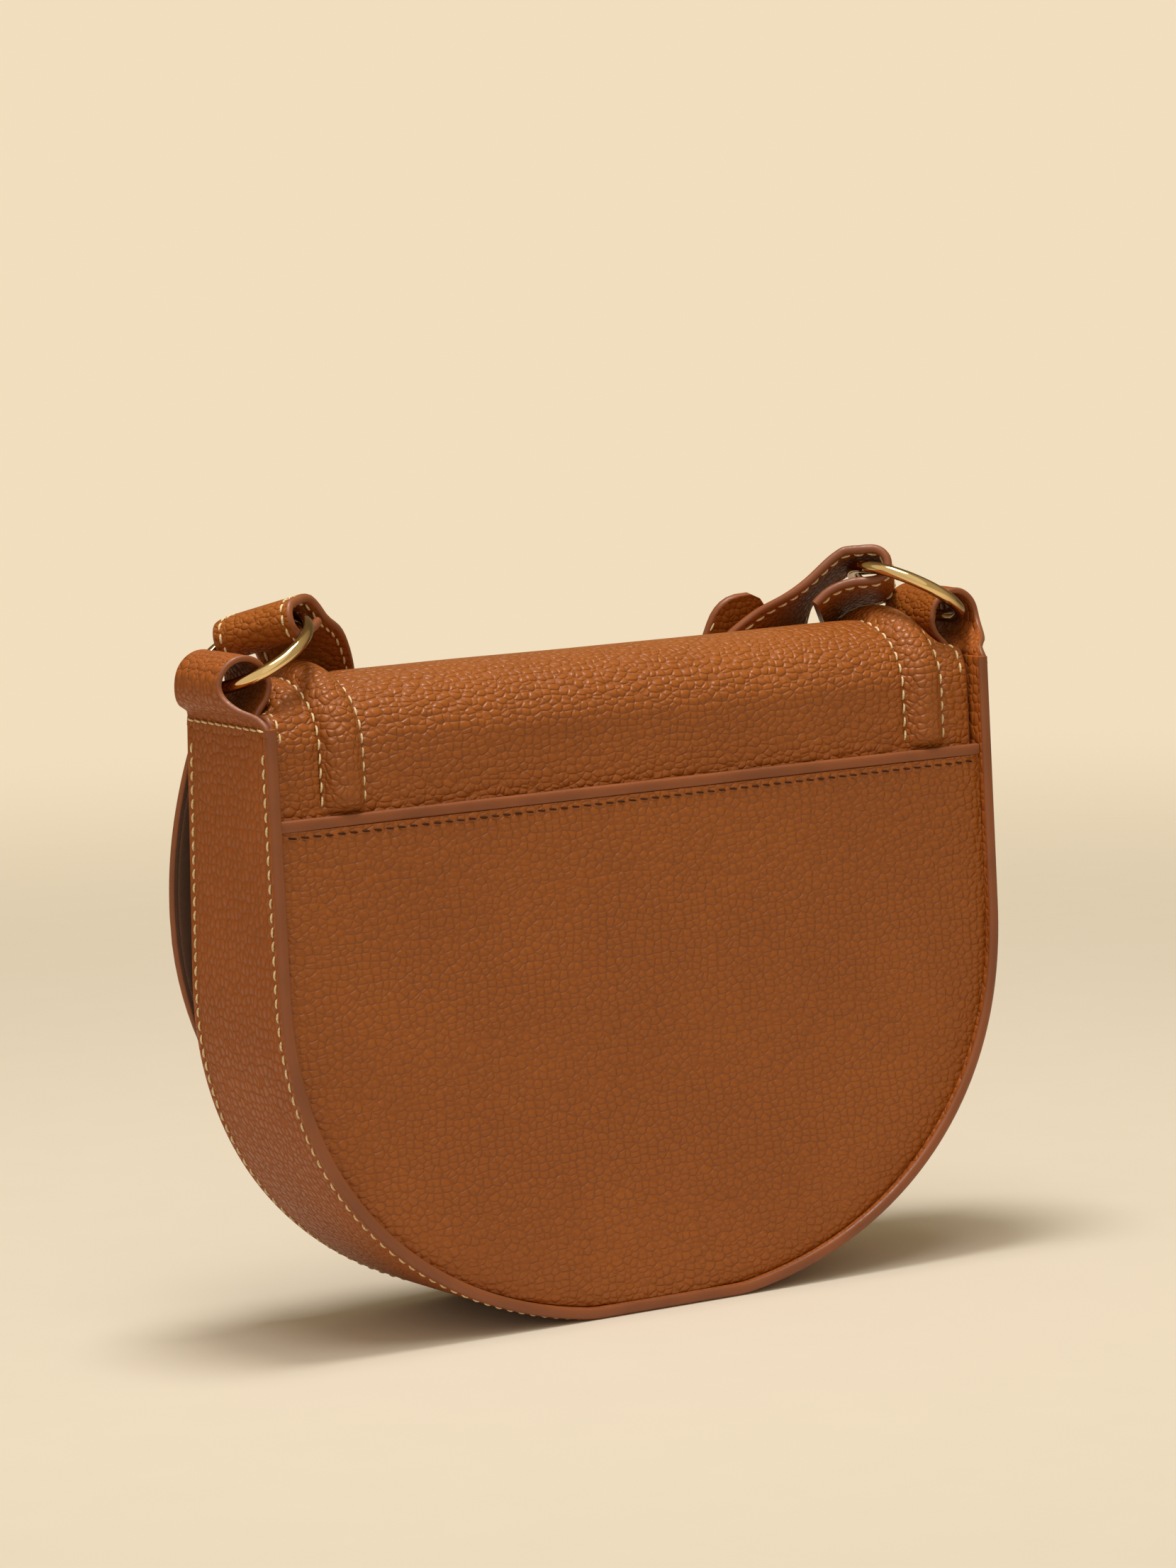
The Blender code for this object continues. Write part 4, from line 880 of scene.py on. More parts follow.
def left_knots():
    """The long strap's way round the left ring to the shoulder, and on down the front."""
    over = LEFT_FOLD.under([(11, -3.0, 0), (8, -3.7, 0), (4, -4.1, 0)]) + LEFT_FOLD.bend()
    over += LEFT_FOLD.turned_down(8 * MM, 60, 3 * MM)
    over.append(knot(79.5, -21, 181.5, (-0.72, 0.60, 0.35)))
    over.append(knot(75.2, -23.8, 173.5, (-0.85, 0.36, 0.38)))
    over.append((shoulder(71.5, 3.2), Vector((-0.92, 0.15, 0.36))))
    down = [knot(69.3, -28.9, 156.5, (-0.95, 0.05, 0.30))]
    for x, y, z in ((64, -31.0, 143), (54.5, -33.4, 118), (44, -33.2, 90), (34.5, -32.8, 64)):
        down.append(knot(x, y, z, LEFT_ACROSS))
    return over, down + [(LEFT_END, LEFT_ACROSS)]


# The straight run of both straps up the flap, and the buckle's two bars behind it.
RUN_LOW = Vector((-57.2, -37.8, 128)) * MM
RUN_HIGH = Vector((-62.0, -33.6, 160)) * MM
RUN_UP = (RUN_HIGH - RUN_LOW).normalized()
RUN_ACROSS = (Vector((1, 0, 0)) - RUN_UP * RUN_UP.x).normalized()
RUN_OUT = RUN_ACROSS.cross(RUN_UP)
BAR_SEAT = BAR_RADIUS + SEAT + STRAP_THICK / 2
TOP_BAR_UP = -14 * MM
LOW_BAR_UP = TOP_BAR_UP - FRAME_LENGTH
TAIL_LIFT = STRAP_THICK + SEAT


def run_point(up, out=0):
    """A point beside the straight run, so far up it and out from the flap."""
    return RUN_LOW + RUN_UP * up + RUN_OUT * out


TOP_BAR = run_point(TOP_BAR_UP, -BAR_SEAT)
LOW_BAR = run_point(LOW_BAR_UP, -BAR_SEAT)


def short_strap_knots():
    """The short strap's way round the right ring, down the front and round the buckle's top bar."""
    over = RIGHT_FOLD.under([(15.4, -10.9, 8), (12.6, -8.2, 6.5), (9.5, -6.3, 4), (5, -4.9, 1.5)])
    over += RIGHT_FOLD.bend() + RIGHT_FOLD.turned_down(4 * MM, 38, 13 * MM)
    over.append(knot(-74.5, -22.6, 173.2, (0.85, 0.30, 0.42)))
    over.append((shoulder(-66, 2.9), Vector((0.93, 0.12, 0.35))))
    down = [knot(-61.8, -30.6, 156, (0.97, 0.04, 0.22))]
    down += [(run_point(up * MM), RUN_ACROSS) for up in (20, 10, 0)]
    for i in range(7):
        turn = radians(30 * i)
        point = TOP_BAR + (RUN_OUT * cos(turn) - RUN_UP * sin(turn)) * BAR_SEAT
        down.append((point, RUN_ACROSS))
    for up, spare in ((10, 0.9), (18, 0.3)):
        down.append((run_point(TOP_BAR_UP + up * MM, -2 * STRAP_LAYER - spare * MM), RUN_ACROSS))
    return over + down


def frame_knots():
    """The long strap's way under the buckle's low bar and over its top bar."""
    over_turn = BAR_SEAT + STRAP_THICK + SEAT
    lean = asin((BAR_SEAT + over_turn) / FRAME_LENGTH)
    knots = []
    for up, radius, side, shares in ((LOW_BAR_UP, BAR_SEAT, 1, (0, 0.5, 1)),
                                     (TOP_BAR_UP, over_turn, -1, (1, 0.5, 0))):
        for share in shares:
            turn = lean * share
            place = run_point(up + side * radius * sin(turn), -BAR_SEAT - side * radius * cos(turn))
            knots.append((place, RUN_ACROSS))
    return knots


def long_strap_knots():
    """The long strap's way up through the buckle to its pointed tip."""
    up_front = [(RIGHT_END, RUN_ACROSS), knot(-46, -34.8, 68, RUN_ACROSS),
                (run_point(LOW_BAR_UP - 8 * MM, -2 * BAR_SEAT), RUN_ACROSS)]
    up_front += frame_knots()
    up_front += [(run_point(up * MM, TAIL_LIFT), RUN_ACROSS) for up in (0, 10, 20)]
    up_front.append(knot(-61.7, -34.2, 156.3, RUN_ACROSS))
    up_front.append((shoulder(-63.2, 6.4), Vector((0.98, 0, 0.15))))
    return up_front + [knot(x, y, z, (0.95, 0, 0.3)) for x, y, z in ((-66.0, -28.2, 174.6), (-69.6, -26.4, 182.8))]


def floor_knots():
    """The slack's way over the floor and back, lying in two layers, with a loop at its far end."""
    flat = (-0.839, 0.545, 0)
    away = (LEFT_END - left_knots()[1][-2][0]).normalized()
    low = STRAP_THICK / 2 / MM
    high = low + (STRAP_THICK + SEAT) / MM
    knots = [(LEFT_END, LEFT_ACROSS), (LEFT_END + away * 7 * MM, LEFT_ACROSS),
             knot(20.8, -34.2, 22, (-0.95, 0.1, 0.25)), knot(12, -40, 8.5, (-0.92, 0.3, 0.1))]
    for x, y, z in ((-5, -53, low + 0.6), (-24, -76, low), (-60, -131, low), (-110, -208, low), (-150, -270, low),
                    (-174, -306, 6), (-183, -320, 18), (-175, -308, 30), (-157, -280, 24), (-137, -249, 10),
                    (-117, -218, high + 0.4), (-98, -188, high), (-72, -148, high), (-54, -110, high + 0.6),
                    (-45, -74, 10)):
        knots.append(knot(x, y, z, flat))
    knots.append(knot(-38, -42, 20, (-0.93, 0.3, 0)))
    away = (RIGHT_END - long_strap_knots()[1][0]).normalized()
    return knots + [(RIGHT_END + away * 7 * MM, -RUN_ACROSS), (RIGHT_END, -RUN_ACROSS)]


THREAD_SINK = 0.12 * MM
THREAD_RADIUS = 0.34 * MM
TAIL_THREAD_RADIUS = 0.28 * MM
POCKET_THREAD_RADIUS = 0.3 * MM
# A stitch's sections: share of its length, share of its radius, and lift in radii.
STITCH_SECTIONS = ((0, 0.45, -0.35), (0.15, 0.85, 0.2), (0.4, 1.0, 0.5), (0.6, 1.0, 0.5), (0.85, 0.85, 0.2),
                   (1, 0.45, -0.35))


def circle(middle, first, second, radius, count):
    """Points round a middle, from the first direction towards the second."""
    turns = [tau * k / count for k in range(count)]
    return [middle + (first * cos(turn) + second * sin(turn)) * radius for turn in turns]


def run_lengths(points):
    """How far along a line each of its points lies."""
    lengths = [0]
    for a, b in zip(points, points[1:]):
        lengths.append(lengths[-1] + (b - a).length)
    return lengths


def border_paths(stations):
    """Sewn lines near the strap's two borders, on both faces, as (points, outward directions)."""
    lines = []
    for edge, side in ((-1, 1), (1, 1), (-1, -1), (1, -1)):
        points = [p + a * edge * (STRAP_WIDTH / 2 - STITCH_INSET) + f * side * (STRAP_THICK / 2 - THREAD_SINK)
                  for p, a, f in stations]
        lines.append((points, [f * side for _, _, f in stations]))
    return lines


def stitch_row(mesh_data, points, outs, radius, pitch=3.7 * MM, length=2.7 * MM):
    """Stitches along a line: short tapered ropes that dip into the leather at their ends."""
    lengths = run_lengths(points)

    def at(distance):
        i = next((i for i in range(1, len(lengths)) if distance <= lengths[i]), len(lengths) - 1)
        share = (distance - lengths[i - 1]) / max(lengths[i] - lengths[i - 1], 1e-9)
        return points[i - 1].lerp(points[i], share), outs[i - 1].lerp(outs[i], share).normalized()

    count = int((lengths[-1] - length) / pitch)
    for i in range(count + 1):
        begin = i * pitch + (lengths[-1] - count * pitch - length) / 2
        rings = []
        for share, size, lift in STITCH_SECTIONS:
            point, out = at(begin + length * share)
            ahead = at(begin + length * min(share + 0.2, 1))[0] - at(begin + length * max(share - 0.2, 0))[0]
            side = ahead.normalized().cross(out).normalized()
            centre = point + out * lift * radius + side * (share - 0.5) * 0.35 * MM
            rings.append(circle(centre, side, out, radius * size, 6))
        loft(rings, mesh_data=mesh_data)


def sewn(name, lines, finish="thread", radius=None, **spacing):
    """Thread along lines of (points, outward directions), as thick as the panel says by default."""
    mesh_data = bmesh.new()
    for points, outs in lines:
        stitch_row(mesh_data, points, outs, radius or bpy.context.scene.bag_sizes.thread_radius, **spacing)
    return mesh_object(name, mesh_data, [finish], sharp=80)


def punched(piece, places):
    """Round holes through a strip. Places are (middle, direction, radius)."""
    for middle, direction, radius in places:
        turn = direction.to_track_quat("Z", "Y").to_matrix()
        rings = [circle(middle + turn @ Vector((0, 0, h)), turn.col[0], turn.col[1], radius, 24)
                 for h in (-6 * MM, 6 * MM)]
        cutter = mesh_object("punch", loft(rings), ["edge"])
        change = piece.modifiers.new("punch", "BOOLEAN")
        change.operation = "DIFFERENCE"
        change.solver = "EXACT"
        change.object = cutter
        depsgraph = bpy.context.evaluated_depsgraph_get()
        mesh = bpy.data.meshes.new_from_object(piece.evaluated_get(depsgraph))
        piece.modifiers.clear()
        piece.data = mesh
        bpy.data.objects.remove(cutter)


# The strap's finishes, its station spacing, its holes and its pointed tip.
STRAP_FINISHES = ["strap", "edge", "under"]
STRAP_STEP = 2.0 * MM
HOLE_STEP = 20 * MM
HOLE_RADIUS = 1.9 * MM
PRONG_HOLE_RADIUS = 2.0 * MM
POINT_LENGTH = 11 * MM
POINT_NARROWING = 1.4 * MM


def sewn_strap(name, stations, finishes, sewn_count=None):
    """A length of strap and the seams along it."""
    piece = strip_solid(name, stations, STRAP_WIDTH, STRAP_THICK, finishes)
    return piece, sewn(name + "_stitches", border_paths(stations[:sewn_count]))


def build_strap():
    # The left side: round the ring, over the shoulder and down to mid height.
    over, down = left_knots()
    route, marks = smooth_route(over + down, STRAP_STEP)
    parting = marks[len(over) + 3]
    upper, seams = sewn_strap("long_strap_left", strip_stations(route)[:parting + 1], STRAP_FINISHES)
    for piece in (upper, seams):
        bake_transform(piece)
    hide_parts("left_strap_fold", "left_strap_front")

    # The slack: from mid height on the left, over the floor, and up again to the buckle.
    right_route, right_marks = smooth_route(long_strap_knots(), STRAP_STEP)
    right_parting = right_marks[2]
    slack = route[parting:marks[-1]] + smooth_route(floor_knots(), 3.0 * MM)[0]
    slack += [(point, -across) for point, across in right_route[1:right_parting + 1]]
    floor = STRAP_THICK / 2 + 0.02 * MM
    slack = strip_stations([(Vector((p.x, p.y, max(p.z, floor))), across) for p, across in slack])
    lower, seams = sewn_strap("long_strap_slack", slack, STRAP_FINISHES)
    for piece in (lower, seams):
        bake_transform(piece)
    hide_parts("strap_floor_run")

    # The right side: through the buckle and up to the pointed tip.
    tail = strip_stations(right_route[right_parting:])
    piece = pointed_tail("long_strap_tail", tail)
    start, end = prong_line()
    holes = [((start + end) / 2, (end - start).normalized(), PRONG_HOLE_RADIUS)]
    for step in (1, 2):
        up = LOW_BAR_UP + FRAME_LENGTH / 2 + step * HOLE_STEP
        holes.append((run_point(up, TAIL_LIFT), RUN_OUT.copy(), HOLE_RADIUS))
    punched(piece, holes)
    seams = sewn("long_strap_tail_stitches", border_paths(tail[:-5]), radius=TAIL_THREAD_RADIUS)
    for item in (piece, seams):
        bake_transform(item)
    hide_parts("long_strap_front", "long_strap_tip")

    # The short strap: round the right ring, over the shoulder and round the buckle's bar. Its
    # sections start on the face towards the bag, so its finishes are the other way round.
    route, marks = smooth_route(short_strap_knots(), 1.6 * MM)
    piece, seams = sewn_strap("short_strap", strip_stations(route), STRAP_FINISHES[::-1], marks[-10])
    for item in (piece, seams):
        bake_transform(item)
    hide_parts("right_strap_fold", "right_strap_front")


def pointed_tail(name, stations):
    """The strap's tail, whose last stretch narrows to a rounded point."""
    lengths = run_lengths([point for point, _, _ in stations])
    rings, slots = [], None
    for (point, across, face), run in zip(stations, lengths):
        left = lengths[-1] - run
        share = min(left / POINT_LENGTH, 1)
        half = STRAP_WIDTH / 2 - POINT_NARROWING * smoothstep(60 * MM, 10 * MM, left)
        half *= max(1 - (1 - share) ** 2.2, 0.06) ** 0.55
        ring, slots = strip_ring(point, across, face, -half, half, STRAP_THICK, STRAP_PINCH)
        rings.append(ring)
    return mesh_object(name, loft(rings, slots, cap=EDGE), STRAP_FINISHES)


def loop_path():
    """The loop's middle line in (x, z), from the gusset's outside, over the ring, to its inside."""
    points = [(114.2, 163.5), (114.3, 166.5), (115.6, 168.3)]
    points = [(x * MM, z * MM) for x, z in points]
    middle = LOOP_BORE + LOOP_LEATHER / 2
    for i in range(21):
        turn = radians(lerp(-50, 226, i / 20))
        points.append((LOOP_X + middle * cos(turn), LOOP_Z + middle * sin(turn)))
    return points + [(x * MM, z * MM) for x, z in ((110.6, 167.5), (111.4, 164.5), (111.5, 158), (111.5, 152))]


def build_loops():
    for name, side in (("left", 1), ("right", -1)):
        knots = [(Vector((side * x, 0, z)), Vector((0, 1, 0))) for x, z in loop_path()]
        rings, slots = [], None
        for point, across, face in strip_stations(smooth_route(knots, 1.5 * MM)[0]):
            outside = abs(point.x) > LOOP_X or point.z > LOOP_Z
            flare = 1 - smoothstep(164.5 * MM, 178 * MM, point.z) if outside else 0
            inner = 0 if outside else 1 - smoothstep(165.5 * MM, 171 * MM, point.z)
            rim = half_depth(point.z) - 0.3 * MM
            low = lerp(lerp(LOOP_FRONT, -rim, flare ** 1.5), -LOOP_END, inner)
            high = lerp(lerp(LOOP_BACK, rim, flare ** 1.5), LOOP_END, inner)
            ring, slots = strip_ring(point, across, face, low, high, LOOP_LEATHER, 0.1 * MM)
            rings.append(ring)
        loop = mesh_object(name + "_loop_leather", loft(rings, slots, cap=EDGE), ["gusset", "edge", "under"])
        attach(loop, "bag")
        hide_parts(name + "_ring_loop")
        line = [Vector((side * 115.25, lerp(-19.5, 19.5, i / 12), 165.2)) * MM for i in range(13)]
        seam = sewn(name + "_loop_stitches", [(line, [Vector((side, 0, 0))] * 13)], pitch=3.6 * MM,
                    length=2.8 * MM)
        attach(seam, "bag")


# Metal

def wire(name, points, normal, radius, seam=None):
    """A closed round wire through a flat loop of points. It is pinched where its ends butt."""
    rings = []
    for i, point in enumerate(points):
        along = (points[(i + 1) % len(points)] - points[i - 1]).normalized()
        out = along.cross(normal).normalized()
        rings.append(circle(point, out, normal, radius * (0.90 if i == seam else 1), 20))
    return mesh_object(name, loft(rings, closed=True), ["gold"], sharp=70)


def build_rings():
    # Evenly spread round the ring, with two places more where its ends butt.
    steps = list(range(64)) + [63.25, 63.5] + list(range(64, 120))
    for name, place in (("left_ring", LEFT_RING), ("right_ring", RIGHT_RING)):
        turns = [tau * step / 120 for step in steps]
        points = [place.centre + (place.outward * cos(t) + place.across * sin(t)) * RING_RADIUS
                  for t in turns]
        ring = wire(name + "_polished", points, place.axis, bpy.context.scene.bag_sizes.wire_radius, seam=64)
        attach(ring, name)
        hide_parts(name)


PRONG_RADIUS = 1.1 * MM
# The prong's sections, as shares of its length and of its radius.
PRONG_SECTIONS = ((0, 1.0), (0.3, 1.0), (0.7, 0.95), (0.9, 0.85), (0.97, 0.65), (1.0, 0.3))


def prong_line():
    start = TOP_BAR - RUN_UP * (BAR_RADIUS + SEAT + 0.44 * MM)
    rest = LOW_BAR + RUN_OUT * (BAR_RADIUS + SEAT + PRONG_RADIUS)
    return start, rest + (rest - start).normalized() * 2.2 * MM


def rounded_frame(middle, across, up, half_across, half_up, corner, steps):
    """Points round a rectangle with rounded corners."""
    points = []
    for i, (side, rise) in enumerate(((1, 1), (-1, 1), (-1, -1), (1, -1))):
        for step in range(steps + 1):
            turn = pi / 2 * (i + step / steps)
            points.append(middle + across * (side * (half_across - corner) + corner * cos(turn))
                          + up * (rise * (half_up - corner) + corner * sin(turn)))
    return points


def build_buckle():
    half = STRAP_WIDTH / 2 + 2 * SEAT + BAR_RADIUS + 0.4 * MM
    points = rounded_frame((TOP_BAR + LOW_BAR) / 2, RUN_ACROSS, RUN_UP, half, FRAME_LENGTH / 2, 3.0 * MM, 8)
    buckle = wire("buckle_frame_polished", points, RUN_OUT, BAR_RADIUS)
    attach(buckle, "flap")
    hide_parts("buckle_frame")

    start, end = prong_line()
    inner, outer, bevel = BAR_RADIUS + SEAT, BAR_RADIUS + SEAT + 1.2 * MM, 0.3 * MM
    profile = [(inner, -2.0), (inner + bevel, -2.2), (outer - bevel, -2.2), (outer, -1.9), (outer, 1.9),
               (outer - bevel, 2.2), (inner + bevel, 2.2), (inner, 2.0)]
    rings = []
    for i in range(32):
        turn = tau * i / 32
        rings.append([TOP_BAR + (RUN_UP * cos(turn) + RUN_OUT * sin(turn)) * r + RUN_ACROSS * h * MM
                      for r, h in profile])
    mesh_data = loft(rings, closed=True)
    face = (end - start).normalized().cross(RUN_ACROSS).normalized()
    sections = [circle(start.lerp(end, share), RUN_ACROSS, face, PRONG_RADIUS * size, 16)
                for share, size in PRONG_SECTIONS]
    loft(sections, mesh_data=mesh_data)
    prong = mesh_object("prong_polished", mesh_data, ["gold"], sharp=60)
    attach(prong, "prong")
    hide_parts("prong")


KEEPER_THICK = 1.7 * MM
KEEPER_WIDTH = 9 * MM
KEEPER_FREE = 0.4 * MM


def build_keeper():
    """The sliding loop: a narrow strip bent round both strap layers."""
    out = KEEPER_FREE + 0.9 * MM
    knots = rounded_frame(run_point(13 * MM, TAIL_LIFT / 2), RUN_ACROSS, RUN_OUT, STRAP_WIDTH / 2 + out,
                          (STRAP_THICK + TAIL_LIFT) / 2 + out, 1.5 * MM, 4)
    stations = []
    for i, point in enumerate(knots):
        along = (knots[(i + 1) % len(knots)] - knots[i - 1]).normalized()
        stations.append((point, RUN_UP, RUN_UP.cross(along)))
    keeper = strip_solid("keeper_leather", stations, bpy.context.scene.bag_sizes.keeper_width, KEEPER_THICK,
                         STRAP_FINISHES, 0.1 * MM, True)
    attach(keeper, "keeper")
    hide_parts("strap_keeper")


def build_snap():
    for node in ("snap_socket", "snap_stud"):
        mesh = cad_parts[node].data
        mesh.materials.clear()
        mesh.materials.append(finish_of("gold"))


# Sewn lines of the body and the flap

GUSSET_SEAM = 2.95 * MM


def gusset_line(side):
    points, outs = [], []
    for station in body_curve(40):
        x, z = inset_point(station, THREAD_SINK)
        if z <= 164 * MM:
            points.append(Vector((x, side * (half_depth(z) - GUSSET_SEAM), z)))
            outs.append(Vector((-station[2], 0, -station[3])))
    return points, outs


def surface_line(x, places, lift):
    """A line over the flap's outer face at one x, as (points, outward directions)."""
    return tuple(zip(*(surface(x, place, lift) for place in places)))


def flap_border():
    """The line that is sewn near the flap's border on its front, from one side round to the other."""
    half_line = []
    for place in flap_places():
        half = flap_half_width(place) - 3.2 * MM
        if place[0] == "front" and half >= 8 * MM:
            half_line.append((half, *flap_point(place, FLAP_TOTAL - THREAD_SINK)))
    points = [Vector((-half, y, z)) for half, y, z in half_line]
    points += [Vector(place) for place in half_line[::-1]]
    return points, [Vector((0, -1, 0))] * len(points)


def build_stitching():
    gusset = sewn("gusset_stitches", [gusset_line(1), gusset_line(-1)])
    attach(gusset, "bag")

    lines = []
    for side, middle in zip((-1, 1), CHANNEL_MIDDLES):
        for edge, bottom in ((-1, 62 * MM), (1, 74 * MM)):
            places = [("back", lerp(POCKET_TOP + 1.5 * MM, DOME_Z, i / 6)) for i in range(6)]
            places += [("dome", pi * i / 40) for i in range(41)]
            places += [("front", lerp(DOME_Z, bottom, (i + 1) / 24)) for i in range(24)]
            lines.append(surface_line(middle + side * edge * (CHANNEL_HALF + 0.45 * MM), places, -0.5 * MM))
        places = [("dome", radians(lerp(8, 62, i / 12))) for i in range(13)]
        lines.append(surface_line(side * (ROOT_HALF_WIDTH - 2.4 * MM), places, -0.05 * MM))
    lines.append(flap_border())
    flap = sewn("flap_stitches", lines)
    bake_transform(flap)

    points = []
    z = POCKET_TOP - BINDING_HEIGHT - 1.6 * MM
    for i in range(45):
        x = lerp(-109.5, 109.5, i / 44) * MM
        rise = crown_rise(x, z, HALF_WIDTH - RIM_LIP - abs(x), POCKET_CROWN)
        points.append(Vector((x, half_depth(z) - POCKET_SET_IN + rise - 0.1 * MM, z)))
    pocket = sewn("pocket_stitches", [(points, [Vector((0, 1, 0))] * 45)], "brown_thread", POCKET_THREAD_RADIUS,
                  pitch=3.6 * MM)
    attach(pocket, "bag")


# Stage

CAMERA_AZIMUTH = radians(146.99)
CAMERA_HEIGHT = radians(7.307)
CAMERA_REACH = 1.62166
CAMERA_AIM = Vector((0.00416, 0, 0.13939))
CAMERA_ROLL = radians(-1.712)
SENSOR_WIDTH = 36
FOCAL_PIXELS = 8526.2
FRAME_PIXELS = 1659
PLAIN_WHITE = (1, 0.98, 0.95)
WARM_WHITE = (1, 0.97, 0.92)
# Each sun's name, the direction to it, its spread in degrees, its strength and its colour.
SUNS = (("key", (0.16, 0.24, 1.0), 30, 0.90, PLAIN_WHITE), ("fill", (0.70, 0.50, 0.50), 110, 0.80, WARM_WHITE),
        ("side", (-0.36, 0.72, 0.50), 120, 0.30, WARM_WHITE))
ROOM_COLOUR = (1.0, 0.80, 0.42, 1)
ROOM_STRENGTH = 0.32
BOX_PLACE = Vector((0.05, 0.02, 1.10))
BOX_AIM = Vector((0, 0, 0.17))


def add_camera():
    back = Vector((sin(CAMERA_AZIMUTH) * cos(CAMERA_HEIGHT),
                   -cos(CAMERA_AZIMUTH) * cos(CAMERA_HEIGHT), sin(CAMERA_HEIGHT)))
    right = (-back).cross(Vector((0, 0, 1))).normalized()
    up = right.cross(-back)
    rolled = right * cos(CAMERA_ROLL) + up * sin(CAMERA_ROLL)
    upright = up * cos(CAMERA_ROLL) - right * sin(CAMERA_ROLL)
    data = bpy.data.cameras.new("camera")
    data.sensor_fit = "HORIZONTAL"
    data.sensor_width = SENSOR_WIDTH
    data.lens = FOCAL_PIXELS * SENSOR_WIDTH / FRAME_PIXELS
    data.clip_end = 100
    camera = add_object("camera", data)
    camera.matrix_world = (Matrix.Translation(CAMERA_AIM + back * CAMERA_REACH)
                           @ Matrix((rolled, upright, back)).transposed().to_4x4())
    bpy.context.scene.camera = camera


def add_light(name, kind, place, turn, strength, colour, **settings):
    data = bpy.data.lights.new(name, kind)
    data.energy = strength
    data.color = colour
    for key, value in settings.items():
        setattr(data, key, value)
    add_object(name, data).matrix_world = Matrix.Translation(place) @ turn.to_matrix().to_4x4()


def floor_material(colour):
    """Paper that fades out far from the bag, so that no horizon shows."""
    material, tree, sockets = start_material("floor_paper")
    marks = group_of(tree, smudge_group, {"Fine per Metre": 60.0})
    feed(tree, sockets["Base Color"], blended(tree, "MIX", marks["Slow"], colour, toned(colour, 0.97)))
    feed(tree, sockets["Roughness"], 0.9)
    feed(tree, sockets["Specular IOR Level"], 0.1)
    feed(tree, sockets["Alpha"], group_of(tree, fade_group, {"Near": 0.45, "Far": 1.3})["Fade"])
    return material


def build_stage():
    colours = bpy.context.scene.bag_colours
    mesh_data = bmesh.new()
    bmesh.ops.create_grid(mesh_data, x_segments=4, y_segments=4, size=3)
    mesh = bpy.data.meshes.new("floor")
    mesh_data.to_mesh(mesh)
    mesh_data.free()
    floor = add_object("floor", mesh)
    mesh.materials.append(floor_material(tuple(colours.floor)))

    # The room lights the bag, and the camera sees the plain backdrop in its place.
    world = bpy.data.worlds.new("studio")
    bpy.context.scene.world = world
    world.use_nodes = True
    tree = world.node_tree
    room = tree.nodes["Background"]
    room.inputs["Color"].default_value = ROOM_COLOUR
    room.inputs["Strength"].default_value = ROOM_STRENGTH
    seen = add_node(tree, "ShaderNodeBackground", values={"Color": tuple(colours.backdrop), "Strength": 1.0})
    path = add_node(tree, "ShaderNodeLightPath")
    mix = add_node(tree, "ShaderNodeMixShader",
                   values={0: path.outputs["Is Camera Ray"], 1: room.outputs[0], 2: seen.outputs[0]})
    feed(tree, tree.nodes["World Output"].inputs["Surface"], mix.outputs[0])
    add_camera()
    for name, toward, spread, strength, colour in SUNS:
        add_light(name, "SUN", (0, 0, 0), Vector(toward).to_track_quat("Z", "Y"), strength, colour,
                  angle=radians(spread))
    add_light("top_box", "AREA", BOX_PLACE, (BOX_AIM - BOX_PLACE).to_track_quat("-Z", "Y"), 7, PLAIN_WHITE,
              shape="DISK", size=0.26)
    bpy.context.scene.view_settings.view_transform = "Standard"


# Add-on classes

def length_property(name, description, default):
    return FloatProperty(name=name, description=description, unit="LENGTH", default=default)


def colour_property(name, description, default):
    return FloatVectorProperty(name=name, description=description, subtype="COLOR", size=4, min=0, max=1,
                               default=default)


class BagSizes(bpy.types.PropertyGroup):
    """Sizes that a user may change before the pieces are built."""
    wire_radius: length_property("Ring Wire Radius", "Half the thickness of the rings' wire", WIRE_RADIUS)
    channel_height: length_property("Channel Height", "How far the padded channels stand up", CHANNEL_HEIGHT)
    thread_radius: length_property("Thread Radius", "Half the thickness of a stitch", THREAD_RADIUS)
    keeper_width: length_property("Keeper Width", "Width of the leather keeper along the strap", KEEPER_WIDTH)


class BagColours(bpy.types.PropertyGroup):
    """Colours of the bag's finishes."""
    leather: colour_property("Leather", "Pebbled leather of panels, flap and strap", linear(150, 81, 22))
    gusset: colour_property("Gusset Leather", "Finer leather of the gusset and loops", linear(156, 82, 26))
    # Painted shade: the underside colour is the strap leather a little darker, for the face turned away from the
    # light.
    underside: colour_property("Strap Underside", "Leather on the strap's underside", linear(143, 76, 20))
    edge: colour_property("Painted Edge", "Paint on cut leather edges", linear(136, 74, 36))
    lining: colour_property("Lining", "Twill lining", linear(98, 58, 30))
    thread: colour_property("Thread", "Contrast thread", linear(246, 220, 172))
    brown_thread: colour_property("Brown Thread", "Thread under the pocket's edge", linear(74, 37, 16))
    metal: colour_property("Metal", "Plating of rings and buckle", (0.86, 0.62, 0.30, 1))
    floor: colour_property("Floor", "Paper that the bag stands on", linear(213, 203, 187))
    backdrop: colour_property("Backdrop", "Colour behind the bag", linear(241, 222, 190))


class BAG_OT_gusset(bpy.types.Operator):
    """Build the gusset band with its rolled rims and its lining"""
    bl_idname = "bag.gusset"
    bl_label = "Gusset"

    def execute(self, context):
        build_gusset()
        return {"FINISHED"}


class BAG_OT_panels(bpy.types.Operator):
    """Build the pocket, back and front panels and their linings"""
    bl_idname = "bag.panels"
    bl_label = "Panels"

    def execute(self, context):
        build_panels()
        return {"FINISHED"}


class BAG_OT_pocket_edge(bpy.types.Operator):
    """Build the slip pocket's rolled top edge"""
    bl_idname = "bag.pocket_edge"
    bl_label = "Pocket Edge"

    def execute(self, context):
        build_pocket_edge()
        return {"FINISHED"}


